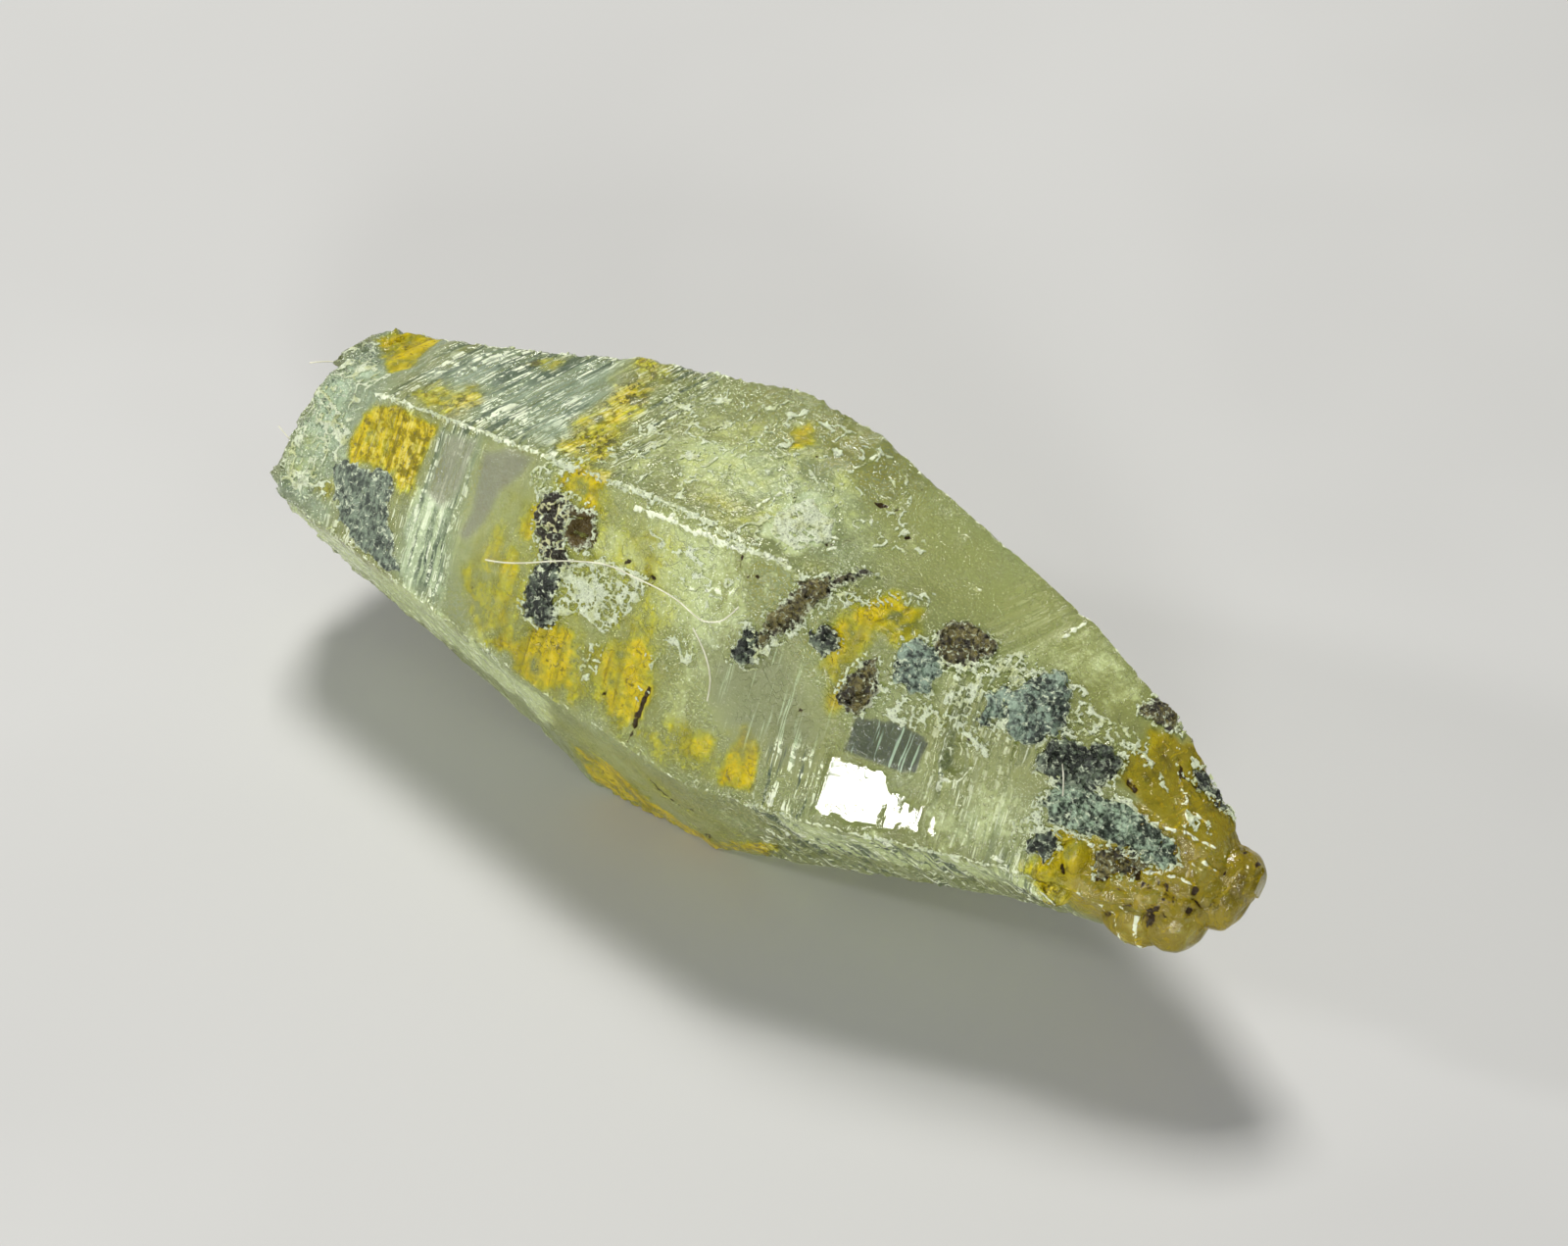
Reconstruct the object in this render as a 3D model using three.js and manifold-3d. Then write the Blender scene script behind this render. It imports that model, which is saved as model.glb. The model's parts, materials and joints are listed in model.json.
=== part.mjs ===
// A natural sapphire crystal, doubly tapered and six-sided, lying on one of its flat faces. Sizes are in
// millimetres. +X runs along the crystal's long axis from the broken end to the rounded tip, +Z is up, and
// the origin is on the resting face, under the widest part.
import * as THREE from "three";
import { ConvexGeometry } from "three/addons/geometries/ConvexGeometry.js";
import { mergeVertices } from "three/addons/utils/BufferGeometryUtils.js";
import Module from "manifold-3d";

// Directions of the six long edges round the axis, in degrees: 0 points to the front, -Y, and 90 points up.
const edgeAngles = [-60, 0, 67, 120, 180, 240];

// The two lowest long edges bound the resting face, so their radius sets how high the long axis lies.
const restingRadius = 6.1;
const axisHeight = restingRadius * Math.sin(THREE.MathUtils.degToRad(60));

// Cross-sections along the axis: place x, sideways shift of the centre, and the radius of each long edge.
const sections = [
  { x: -14.3, shift: 0, radii: [2.6, 2.5, 1.2, 1.1, 1.2, 1.8] },
  { x: -13.4, shift: 0, radii: [3.45, 3.35, 2.5, 2.45, 2.5, 2.7] },
  { x: -12.4, shift: 0, radii: [3.75, 3.5, 3.15, 3.1, 3.1, 3.2] },
  { x: -9.5, shift: 0, radii: [4.4, 4.0, 4.05, 4.1, 4.0, 4.2] },
  { x: -4.5, shift: 0, radii: [5.7, 4.95, 5.3, 5.25, 5.2, restingRadius] },
  { x: -3.6, shift: 0, radii: [restingRadius, 5.07, 5.51, 5.42, 5.38, restingRadius] },
  { x: -1.0, shift: 0, radii: [restingRadius, 5.4, 6.1, 5.9, 5.9, restingRadius] },
  { x: 0.5, shift: -0.06, radii: [restingRadius, 5.5, 6.13, 6.0, 5.84, restingRadius] },
  { x: 1.4, shift: -0.1, radii: [5.75, 5.55, 6.15, 6.05, 5.8, restingRadius] },
  { x: 5.2, shift: -0.2, radii: [4.5, 4.6, 4.95, 5.0, 4.6, 4.8] },
  { x: 8.6, shift: -0.3, radii: [3.3, 3.4, 3.75, 3.95, 3.2, 3.5] },
  { x: 11.8, shift: -0.55, radii: [2.5, 2.35, 2.55, 2.6, 2.1, 2.3] },
  { x: 13.7, shift: -0.75, radii: [1.8, 1.6, 1.6, 1.45, 1.2, 1.4] },
];

// Sides are numbered by the edge that they start from: 0 front under, 1 front upper, 2 top, 3 back upper,
// 4 back under and 5 bottom. A place on a side is its x and how far across it lies, from 0 to 1.

// Growth marks lie across the axis. Ledges are low steps over a whole side, with a riser that faces the
// nearer end, and grooves are shorter lines that fade out at both ends.
const growthZones = [
  { side: 0, from: -12.8, to: -5.2, ledges: 3, grooves: 5, tread: [0.3, 0.7] },
  { side: 0, from: 2.0, to: 12.0, ledges: 4, grooves: 11, tread: [0.2, 0.45] },
  { side: 1, from: -9.2, to: -5.6, ledges: 3, grooves: 4, tread: [0.3, 0.6] },
  { side: 1, from: 2.8, to: 9.6, ledges: 2, grooves: 11, tread: [0.15, 0.35] },
  { side: 2, from: -11.2, to: -3.4, ledges: 4, grooves: 11, tread: [0.25, 0.55] },
  { side: 2, from: 2.6, to: 10.4, ledges: 1, grooves: 4, tread: [0.15, 0.35] },
  { side: 3, from: -11.8, to: -3.2, ledges: 4, grooves: 7, tread: [0.3, 0.7] },
  { side: 3, from: 2.6, to: 11.8, ledges: 3, grooves: 7, tread: [0.2, 0.5] },
  { side: 4, from: -12.4, to: -4.2, ledges: 4, grooves: 6, tread: [0.3, 0.7] },
  { side: 4, from: 2.6, to: 11.8, ledges: 3, grooves: 6, tread: [0.2, 0.5] },
  { side: 5, from: -12.8, to: -6.6, ledges: 3, grooves: 4, tread: [0.3, 0.6] },
  { side: 5, from: 3.6, to: 12.2, ledges: 3, grooves: 4, tread: [0.2, 0.5] },
];
const clearOfEdges = [0.12, 0.88]; // how far across a side the middle of a groove or pit may lie
const ledgeReach = 1.2; // how far a ledge cutter stands out of the side
const grooveLength = [0.25, 0.7]; // as a share of the side's width
const grooveDepth = [0.07, 0.17];
const grooveWidth = [0.14, 0.3];

// Etch pits, spread over the six sides, and one wide shallow oval pit on the front.
const pitCount = 30;
const pitRadius = [0.12, 0.34];
const pitReach = [-11.5, 12];
const pitReachUnder = [3.5, 11.5]; // the bottom side keeps its resting face clear
const ovalPit = { side: 1, x: 7.5, across: 0.52, length: 0.42, width: 0.3, depth: 0.13 };

// Chips out of the three long edges that carry the most wear.
const wornEdges = [1, 2, 3];
const wornReach = [-11.5, 11];
const chipCount = 9;
const chipRadius = [0.1, 0.26];

// The broken end: shell-shaped bites over its upper sides and its end face, and grains that stand out.
const brokenReach = [-14.0, -12.2];
const biteCount = 14;
const biteRadius = [0.5, 1.0];
const biteStandOff = 0.72; // from the surface to the middle of a bite, as a share of its radius
const endBiteCount = 4;
const endBiteRing = 1.1; // distance of the end bites from the axis
const grainCount = 12;
const grainRadius = [0.25, 0.45];

// Rounded lumps that are etched out of the tip: centre and half-sizes.
const tipLumps = [
  { at: [14.1, -0.6, 5.5], size: [0.72, 0.72, 0.72] },
  { at: [13.65, -0.95, 5.05], size: [1.05, 1.0, 1.0] },
  { at: [13.2, -1.7, 4.4], size: [0.85, 0.82, 0.85] },
  { at: [12.2, -1.9, 3.9], size: [0.9, 0.6, 0.75] },
  { at: [10.85, -2.62, 5.85], size: [0.34, 0.4, 0.62] },
  { at: [10.32, -2.85, 5.5], size: [0.3, 0.45, 0.4] },
  { at: [11.5, -2.3, 4.9], size: [0.8, 0.5, 0.5] },
  { at: [13.0, -0.1, 6.3], size: [0.75, 0.5, 0.5] },
];

// The sharp splinter of clear crystal that ends the front lower side, before the amber tip.
const splinter = [
  [8.9, -3.2, 4.5],
  [9.0, -3.1, 3.6],
  [9.4, -2.5, 3.9],
  [10.93, -3.32, 4.68],
];

// Patches of dark host rock. Each lump is a place on a side and its radius along the surface.
const crusts = {
  crust_broken_end: [
    { side: 1, x: -11.4, across: 0.4, radius: 0.62 },
    { side: 1, x: -10.8, across: 0.33, radius: 0.76 },
    { side: 1, x: -10.2, across: 0.42, radius: 0.6 },
    { side: 1, x: -10.3, across: 0.2, radius: 0.68 },
    { side: 1, x: -9.6, across: 0.13, radius: 0.62 },
    { side: 1, x: -8.9, across: 0.09, radius: 0.55 },
  ],
  crust_middle: [
    { side: 1, x: -4.65, across: 0.73, radius: 0.52 },
    { side: 1, x: -4.15, across: 0.75, radius: 0.46 },
    { side: 1, x: -3.7, across: 0.77, radius: 0.44 },
    { side: 1, x: -4.4, across: 0.6, radius: 0.54 },
    { side: 1, x: -4.2, across: 0.43, radius: 0.66 },
    { side: 1, x: -3.55, across: 0.47, radius: 0.54 },
  ],
  crust_streak: [
    { side: 1, x: 1.95, across: 0.63, radius: 0.55 },
    { side: 1, x: 2.3, across: 0.73, radius: 0.5 },
    { side: 1, x: 2.55, across: 0.82, radius: 0.44 },
    { side: 1, x: 2.8, across: 0.9, radius: 0.44 },
    { side: 1, x: 3.05, across: 0.98, radius: 0.46 },
    { side: 2, x: 3.3, across: 0.07, radius: 0.44 },
    { side: 2, x: 3.6, across: 0.17, radius: 0.42 },
  ],
  crust_round_lump: [
    { side: 1, x: 3.65, across: 0.82, radius: 0.42 },
    { side: 1, x: 3.6, across: 0.88, radius: 0.3 },
  ],
  crust_face_lump: [
    { side: 1, x: 4.75, across: 0.68, radius: 0.52 },
    { side: 1, x: 4.55, across: 0.62, radius: 0.38 },
    { side: 1, x: 4.9, across: 0.8, radius: 0.34 },
  ],
  crust_trail_upper: [
    { side: 1, x: 5.9, across: 0.88, radius: 0.58 },
    { side: 2, x: 6.35, across: 0.02, radius: 0.54 },
    { side: 2, x: 6.55, across: 0.2, radius: 0.56 },
    { side: 1, x: 6.2, across: 0.77, radius: 0.46 },
  ],
  crust_tip_trail: [
    { side: 1, x: 7.9, across: 0.9, radius: 0.44 },
    { side: 1, x: 8.4, across: 0.94, radius: 0.5 },
    { side: 2, x: 8.95, across: 0.12, radius: 0.62 },
    { side: 2, x: 8.75, across: 0.32, radius: 0.44 },
    { side: 1, x: 9.55, across: 0.95, radius: 0.56 },
    { side: 1, x: 10.2, across: 0.97, radius: 0.54 },
    { side: 2, x: 10.85, across: 0.1, radius: 0.5 },
    { side: 1, x: 10.0, across: 0.72, radius: 0.5 },
    { side: 1, x: 10.6, across: 0.78, radius: 0.54 },
    { side: 1, x: 11.2, across: 0.76, radius: 0.52 },
    { side: 1, x: 11.75, across: 0.68, radius: 0.5 },
    { side: 1, x: 12.4, across: 0.68, radius: 0.5 },
    { side: 1, x: 11.95, across: 0.42, radius: 0.4 },
  ],
  crust_small_knot: [
    { side: 1, x: 10.0, across: 0.3, radius: 0.38 },
    { side: 1, x: 9.85, across: 0.38, radius: 0.3 },
  ],
  crust_edge_upper: [
    { side: 2, x: 10.65, across: 0.92, radius: 0.32 },
    { side: 2, x: 11.05, across: 0.97, radius: 0.32 },
  ],
  crust_edge_tip: [
    { side: 2, x: 12.4, across: 0.88, radius: 0.28 },
    { side: 2, x: 12.8, across: 0.95, radius: 0.3 },
    { side: 3, x: 13.1, across: 0.05, radius: 0.26 },
  ],
};
const crustHeight = 0.5; // half thickness of a lump, as a share of its radius
const crustLift = 0.15; // height of a lump's middle above the side, as a share of its radius
const crustRoughness = 0.3;
const bigLump = 0.5; // lumps from this radius up get finer facets
const crustGap = 0.06; // between a crust and the side that it sits on

const wasm = await Module();
wasm.setup();

// A repeatable source of numbers from 0 to 1.
function randomSource(seed) {
  let state = seed;
  return () => {
    state = (state + 0x6d2b79f5) | 0;
    let t = Math.imul(state ^ (state >>> 15), 1 | state);
    t = (t + Math.imul(t ^ (t >>> 7), 61 | t)) ^ t;
    return ((t ^ (t >>> 14)) >>> 0) / 4294967296;
  };
}

function between(random, [low, high]) {
  return low + (high - low) * random();
}

function solidOf(geometry) {
  const bare = geometry.clone();
  bare.deleteAttribute("normal");
  bare.deleteAttribute("uv");
  const merged = mergeVertices(bare);
  return new wasm.Manifold(
    new wasm.Mesh({
      numProp: 3,
      vertProperties: new Float32Array(merged.attributes.position.array),
      triVerts: new Uint32Array(merged.index.array),
    }),
  );
}

function geometryOf(solid) {
  const mesh = solid.getMesh();
  const geometry = new THREE.BufferGeometry();
  geometry.setAttribute("position", new THREE.BufferAttribute(mesh.vertProperties, 3));
  geometry.setIndex(new THREE.BufferAttribute(mesh.triVerts, 1));
  geometry.computeVertexNormals();
  return geometry;
}

// The long edge with this number, where it passes x, moved out from the axis by extra.
function edgePoint(edge, x, extra = 0) {
  const beyond = sections.findIndex((section) => section.x > x);
  const next = beyond < 0 ? sections.length - 1 : Math.max(beyond, 1);
  const before = sections[next - 1];
  const after = sections[next];
  const t = (x - before.x) / (after.x - before.x);
  const number = edge % edgeAngles.length;
  const turn = THREE.MathUtils.degToRad(edgeAngles[number]);
  const radius = THREE.MathUtils.lerp(before.radii[number], after.radii[number], t) + extra;
  const shift = THREE.MathUtils.lerp(before.shift, after.shift, t);
  return new THREE.Vector3(x, shift - Math.cos(turn) * radius, axisHeight + Math.sin(turn) * radius);
}

// A frame on a side: its point, the direction across it, and the outward normal square to the long axis.
function sidePlace(side, x, across) {
  const start = edgePoint(side, x);
  const end = edgePoint(side + 1, x);
  const point = start.clone().lerp(end, across);
  const over = end.sub(start).normalize();
  const outward = new THREE.Vector3(1, 0, 0).cross(over);
  return { point, over, outward };
}

// The side's true outward normal, which leans towards the nearer end.
function sideNormal(side, x, across) {
  const step = 0.5;
  const { over } = sidePlace(side, x, across);
  const along = sidePlace(side, x + step, across).point.sub(sidePlace(side, x - step, across).point);
  return along.normalize().cross(over);
}

function placed(geometry, along, over, outward, point) {
  return geometry
    .clone()
    .applyMatrix4(new THREE.Matrix4().makeBasis(along, over, outward))
    .translate(point.x, point.y, point.z);
}

// A rough rounded stone with flat little faces.
function roughLump(random, detail, roughness) {
  const ball = new THREE.IcosahedronGeometry(1, detail);
  ball.deleteAttribute("normal");
  ball.deleteAttribute("uv");
  const lump = mergeVertices(ball);
  const position = lump.attributes.position;
  const corner = new THREE.Vector3();
  for (let i = 0; i < position.count; i++) {
    corner.fromBufferAttribute(position, i).multiplyScalar(1 + roughness * (random() - 0.5));
    position.setXYZ(i, corner.x, corner.y, corner.z);
  }
  return lump;
}

// The plain faceted body, before growth marks and wear, swollen by extra: a block between each section and
// the next, all joined.
function crystalBody(extra) {
  const rings = sections.map(({ x }) => edgeAngles.map((angle, edge) => edgePoint(edge, x, extra)));
  const blocks = rings.slice(1).map((ring, i) => solidOf(new ConvexGeometry([...rings[i], ...ring])));
  return blocks.reduce((body, block) => body.add(block));
}

// A step over the whole side: everything above a floor that runs level with the axis is cut away.
function ledgeCutter(side, x, tread) {
  const { over, outward } = sidePlace(side, x, 0.5);
  const floor = sidePlace(side, x + (Math.sign(x) * tread) / 2, 0.5).point.setX(x);
  const width = edgePoint(side, x).distanceTo(edgePoint(side + 1, x)) * 1.1;
  const box = new THREE.BoxGeometry(tread, width, ledgeReach).translate(0, 0, ledgeReach / 2);
  return placed(box, new THREE.Vector3(1, 0, 0), over, outward, floor);
}

function grooveCutter(side, x, random) {
  const { point, over } = sidePlace(side, x, between(random, clearOfEdges));
  const normal = sideNormal(side, x, 0.5);
  const width = edgePoint(side, x).distanceTo(edgePoint(side + 1, x));
  const halfLength = (between(random, grooveLength) * width) / 2;
  const halfWidth = between(random, grooveWidth) / 2;
  const spindle = new THREE.OctahedronGeometry(1).scale(halfWidth, halfLength, between(random, grooveDepth));
  return placed(spindle, over.clone().cross(normal), over, normal, point);
}

function cutGrowthMarks(body) {
  const random = randomSource(11);
  let cut = body;
  for (const { side, from, to, ledges, grooves, tread } of growthZones) {
    for (let i = 0; i < ledges; i++) {
      const x = THREE.MathUtils.lerp(from, to, (i + random()) / ledges);
      cut = cut.subtract(solidOf(ledgeCutter(side, x, between(random, tread))));
    }
    for (let i = 0; i < grooves; i++) {
      const x = THREE.MathUtils.lerp(from, to, (i + random()) / grooves);
      cut = cut.subtract(solidOf(grooveCutter(side, x, random)));
    }
  }
  return cut;
}

function cutPits(body) {
  const random = randomSource(23);
  let cut = body;
  for (let i = 0; i < pitCount; i++) {
    const side = i % edgeAngles.length;
    const x = between(random, side === 5 ? pitReachUnder : pitReach);
    const across = between(random, clearOfEdges);
    const radius = between(random, pitRadius);
    const { point, over } = sidePlace(side, x, across);
    const normal = sideNormal(side, x, across);
    const along = over.clone().cross(normal);
    const pit = new THREE.OctahedronGeometry(radius).rotateZ(random() * Math.PI).scale(1.4, 1, 0.6);
    cut = cut.subtract(solidOf(placed(pit, along, over, normal, point)));
  }
  const { point, over } = sidePlace(ovalPit.side, ovalPit.x, ovalPit.across);
  const normal = sideNormal(ovalPit.side, ovalPit.x, ovalPit.across);
  const bowl = new THREE.IcosahedronGeometry(1, 1).scale(ovalPit.length, ovalPit.width, ovalPit.depth);
  return cut.subtract(solidOf(placed(bowl, over.clone().cross(normal), over, normal, point)));
}

function cutChips(body) {
  const random = randomSource(37);
  let cut = body;
  for (const edge of wornEdges) {
    for (let i = 0; i < chipCount; i++) {
      const at = edgePoint(edge, THREE.MathUtils.lerp(...wornReach, (i + random()) / chipCount));
      const radius = between(random, chipRadius);
      const chip = new THREE.OctahedronGeometry(radius).rotateX(random() * Math.PI).scale(1.6, 1, 1);
      cut = cut.subtract(solidOf(chip.translate(at.x, at.y, at.z)));
    }
  }
  return cut;
}

function roughenBrokenEnd(body) {
  const random = randomSource(51);
  const endX = sections[0].x;
  const centre = new THREE.Vector3(brokenReach[1], 0, axisHeight);
  let end = body;
  for (let i = 0; i < grainCount; i++) {
    const edge = i % edgeAngles.length;
    const x = between(random, brokenReach);
    const at = edgePoint(edge, x).lerp(edgePoint(edge + 1, x), random()).lerp(centre, 0.1);
    const size = between(random, grainRadius);
    end = end.add(solidOf(roughLump(random, 0, 0.4).scale(size, size, size).translate(at.x, at.y, at.z)));
  }
  for (let i = 0; i < biteCount; i++) {
    const side = 1 + (i % 3);
    const size = between(random, biteRadius);
    const x = between(random, brokenReach);
    const across = random();
    const { point } = sidePlace(side, x, across);
    const at = point.addScaledVector(sideNormal(side, x, across), size * biteStandOff);
    const bite = roughLump(random, 1, 0.2).scale(size, size, size).translate(at.x, at.y, at.z);
    end = end.subtract(solidOf(bite));
  }
  for (let i = 0; i < endBiteCount; i++) {
    const turn = (i / endBiteCount) * Math.PI * 2;
    const size = between(random, biteRadius);
    const bite = roughLump(random, 1, 0.25).scale(size, size, size);
    const level = axisHeight + endBiteRing * Math.sin(turn);
    bite.translate(endX - size * biteStandOff, endBiteRing * Math.cos(turn), level);
    end = end.subtract(solidOf(bite));
  }
  return end;
}

function addTipLumps(body) {
  const random = randomSource(64);
  let tip = body;
  for (const { at, size } of tipLumps) {
    tip = tip.add(solidOf(roughLump(random, 1, 0.1).scale(...size).translate(...at)));
  }
  const shard = new ConvexGeometry(splinter.map((corner) => new THREE.Vector3(...corner)));
  return tip.add(solidOf(shard));
}

// One crust: lumps run together, cut off flat where they meet the side of the crystal.
function crustSolid(lumps, seed) {
  const random = randomSource(seed);
  let solid = null;
  for (const { side, x, across, radius } of lumps) {
    const { point, over } = sidePlace(side, x, across);
    const normal = sideNormal(side, x, across);
    const along = over.clone().cross(normal);
    const detail = radius < bigLump ? 0 : 1;
    const lump = roughLump(random, detail, crustRoughness).scale(radius, radius, radius * crustHeight);
    point.addScaledVector(normal, radius * crustLift);
    const seated = solidOf(placed(lump, along, over, normal, point));
    solid = solid ? solid.add(seated) : seated;
  }
  return solid.subtract(crystalBody(crustGap));
}

function meshOf(name, solid, colour, roughness) {
  const material = new THREE.MeshStandardMaterial({ color: colour, roughness, flatShading: true });
  const mesh = new THREE.Mesh(geometryOf(solid), material);
  mesh.name = name;
  return mesh;
}

const object = new THREE.Group();
const crystal = addTipLumps(roughenBrokenEnd(cutChips(cutPits(cutGrowthMarks(crystalBody(0))))));
object.add(meshOf("sapphire_crystal", crystal, 0xb3ae5c, 0.28));

Object.entries(crusts).forEach(([name, lumps], index) => {
  object.add(meshOf(name, crustSolid(lumps, 100 + index), 0x4d5350, 0.75));
});

export default object;
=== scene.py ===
import json
import math
import random
from types import SimpleNamespace

import bmesh
import bpy
import numpy as np
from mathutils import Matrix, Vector

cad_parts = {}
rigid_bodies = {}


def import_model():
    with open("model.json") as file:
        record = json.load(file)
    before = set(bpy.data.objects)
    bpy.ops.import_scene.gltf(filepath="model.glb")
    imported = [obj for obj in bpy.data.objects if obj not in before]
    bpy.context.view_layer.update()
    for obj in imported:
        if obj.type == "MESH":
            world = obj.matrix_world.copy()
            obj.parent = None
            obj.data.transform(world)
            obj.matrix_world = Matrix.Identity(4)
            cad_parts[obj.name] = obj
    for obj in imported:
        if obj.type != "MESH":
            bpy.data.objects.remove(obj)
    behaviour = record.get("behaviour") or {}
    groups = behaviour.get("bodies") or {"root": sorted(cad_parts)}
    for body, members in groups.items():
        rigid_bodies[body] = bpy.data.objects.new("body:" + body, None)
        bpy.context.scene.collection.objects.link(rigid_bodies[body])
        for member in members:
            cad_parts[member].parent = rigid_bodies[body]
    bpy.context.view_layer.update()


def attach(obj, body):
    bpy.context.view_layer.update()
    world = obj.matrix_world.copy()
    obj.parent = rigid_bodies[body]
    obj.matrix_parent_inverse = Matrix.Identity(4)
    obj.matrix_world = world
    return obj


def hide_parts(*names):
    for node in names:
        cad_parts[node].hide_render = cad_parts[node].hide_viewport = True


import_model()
mm = 0.001  # everything below is thought out in millimetres and made in metres

# ---- camera ----
viewpoint = {
    "azimuth": 35,
    "elevation": 45,
    "distance": 110,
    "lens": 99,
    "target": (0, 0, 5.28),
    "slideRight": 0.375,  # how far the aim lies right of the target and above it
    "slideUp": 0.16,
    "clip": (2, 5000),  # nearest and furthest that is drawn
}


def placeCamera():
    turn = math.radians(viewpoint["azimuth"])
    lift = math.radians(viewpoint["elevation"])
    back = Vector((math.sin(turn) * math.cos(lift), -math.cos(turn) * math.cos(lift), math.sin(lift)))
    right = Vector((math.cos(turn), math.sin(turn), 0))
    up = back.cross(right)
    aim = Vector(viewpoint["target"]) + right * viewpoint["slideRight"] + up * viewpoint["slideUp"]
    bpy.ops.object.camera_add(location=(aim + back * viewpoint["distance"]) * mm)
    camera = bpy.context.object
    camera.name = "camera"
    camera.rotation_euler = (-back).to_track_quat("-Z", "Y").to_euler()
    camera.data.lens = viewpoint["lens"]
    camera.data.clip_start, camera.data.clip_end = (reach * mm for reach in viewpoint["clip"])
    bpy.context.scene.camera = camera


placeCamera()
print("camera placed")

# ---- shape of the crystal, seen as a map: x along it and w round it ----
# w counts the six sides from the front under side; 1.5 is the middle of the front upper side, 2.5 of the top
crystal = {
    "edgeTurns": (-60, 0, 67, 120, 180, 240),  # degrees: 0 to the front, 90 up
    "axisHeight": 6.1 * math.sin(math.radians(60)),
    "sections": (  # x, shift of the axis in y, radius of each long edge
        (-14.56, 0.0, (0.06, 0.06, 0.05, 0.05, 0.05, 0.05)),
        (-14.52, 0.0, (1.2, 1.2, 0.9, 0.9, 0.8, 0.9)),
        (-14.4, 0.0, (2.6, 2.55, 2.1, 2.1, 1.6, 1.9)),
        (-13.4, 0.0, (3.45, 3.35, 2.75, 2.75, 2.5, 2.7)),
        (-12.4, 0.0, (3.75, 3.5, 3.15, 3.05, 3.1, 3.2)),
        (-9.5, 0.0, (4.4, 4.0, 4.05, 3.86, 4.0, 4.2)),
        (-5.6, 0.0, (5.4, 4.74, 5.03, 5.18, 4.94, 5.7)),
        (-4.5, 0.0, (5.7, 4.95, 5.3, 5.42, 5.2, 6.1)),
        (-3.6, 0.0, (6.1, 5.07, 5.51, 5.62, 5.38, 6.1)),
        (-1.0, 0.0, (6.1, 5.4, 6.1, 6.14, 5.9, 6.1)),
        (0.5, -0.06, (6.1, 5.5, 6.13, 6.06, 5.84, 6.1)),
        (1.4, -0.1, (5.75, 5.55, 6.15, 6.05, 5.8, 6.1)),
        (5.2, -0.2, (4.5, 4.6, 4.95, 5.0, 4.6, 4.8)),
        (8.6, -0.3, (3.3, 3.4, 3.75, 4.12, 3.2, 3.5)),
        (11.8, -0.55, (2.5, 2.35, 2.55, 2.78, 2.1, 2.3)),
        (13.7, -0.72, (1.75, 1.55, 1.5, 1.35, 1.1, 1.3)),
        (14.3, -0.66, (0.5, 0.5, 0.5, 0.5, 0.5, 0.5)),
        (14.72, -0.62, (0.25, 0.25, 0.25, 0.25, 0.25, 0.25)),
        (14.8, -0.6, (0.03, 0.03, 0.03, 0.03, 0.03, 0.03)),
    ),
    "ringStep": 0.066,
    "columns": (32, 48, 44, 20, 18, 22),  # across each side
    "smoothAngle": 30,
}
sectionX = np.array([s[0] for s in crystal["sections"]])
sectionShift = np.array([s[1] for s in crystal["sections"]])
sectionRadii = np.array([s[2] for s in crystal["sections"]])
edgeTurns = np.radians(crystal["edgeTurns"])


def edgeYz(x, edge):
    # where long edge number `edge` passes x, as y and z
    edge = np.asarray(edge) % 6
    x = np.asarray(x, float)
    radius = np.zeros(np.broadcast(x, edge).shape)
    for k in range(6):
        radius = np.where(edge == k, np.interp(x, sectionX, sectionRadii[:, k]), radius)
    shift = np.interp(x, sectionX, sectionShift)
    turn = edgeTurns[edge]
    return np.stack([shift - np.cos(turn) * radius, crystal["axisHeight"] + np.sin(turn) * radius], -1)


def mapToPoint(x, w):
    side = np.floor(w).astype(int)
    across = (np.asarray(w) - side)[..., None]
    yz = edgeYz(x, side) * (1 - across) + edgeYz(x, side + 1) * across
    return np.concatenate([np.asarray(x, float)[..., None], yz], -1)


def mapNormal(x, w):
    # outward, and rounded a little over the long edges
    total = 0
    for lean in (-0.05, 0.05):
        side = np.floor(w + lean)
        middle = side + np.clip(w + lean - side, 0.02, 0.98)
        along = mapToPoint(x + 0.3, middle) - mapToPoint(x - 0.3, middle)
        over = mapToPoint(x, middle + 0.01) - mapToPoint(x, middle - 0.01)
        normal = np.cross(along, over)
        total = total + normal / np.linalg.norm(normal, axis=-1, keepdims=True)
    return total / np.linalg.norm(total, axis=-1, keepdims=True)


def pointToMap(points):
    # the nearest side of the section through each point, and how far across it the point lies
    x = points[:, 0]
    best = np.full(len(points), 1e9)
    w = np.zeros(len(points))
    for side in range(6):
        start = edgeYz(x, np.full(len(x), side))
        end = edgeYz(x, np.full(len(x), side + 1))
        over = end - start
        t = ((points[:, 1:] - start) * over).sum(1) / np.maximum((over ** 2).sum(1), 1e-12)
        t = np.clip(t, 0, 1)
        away = ((points[:, 1:] - start - over * t[:, None]) ** 2).sum(1)
        nearer = away < best - 1e-9  # a place on a long edge stays with the first of its two sides
        w = np.where(nearer, side + np.minimum(t, 0.9999), w)
        best = np.where(nearer, away, best)
    return x, w


def spotOn(place):
    # one place on the plain crystal, and the outward normal there
    x, w = (np.array([number]) for number in place)
    return mapToPoint(x, w)[0], mapNormal(x, w)[0]


def sideWidth(x, side):
    return float(np.linalg.norm(edgeYz(np.array([x]), side + 1) - edgeYz(np.array([x]), side)))


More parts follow.
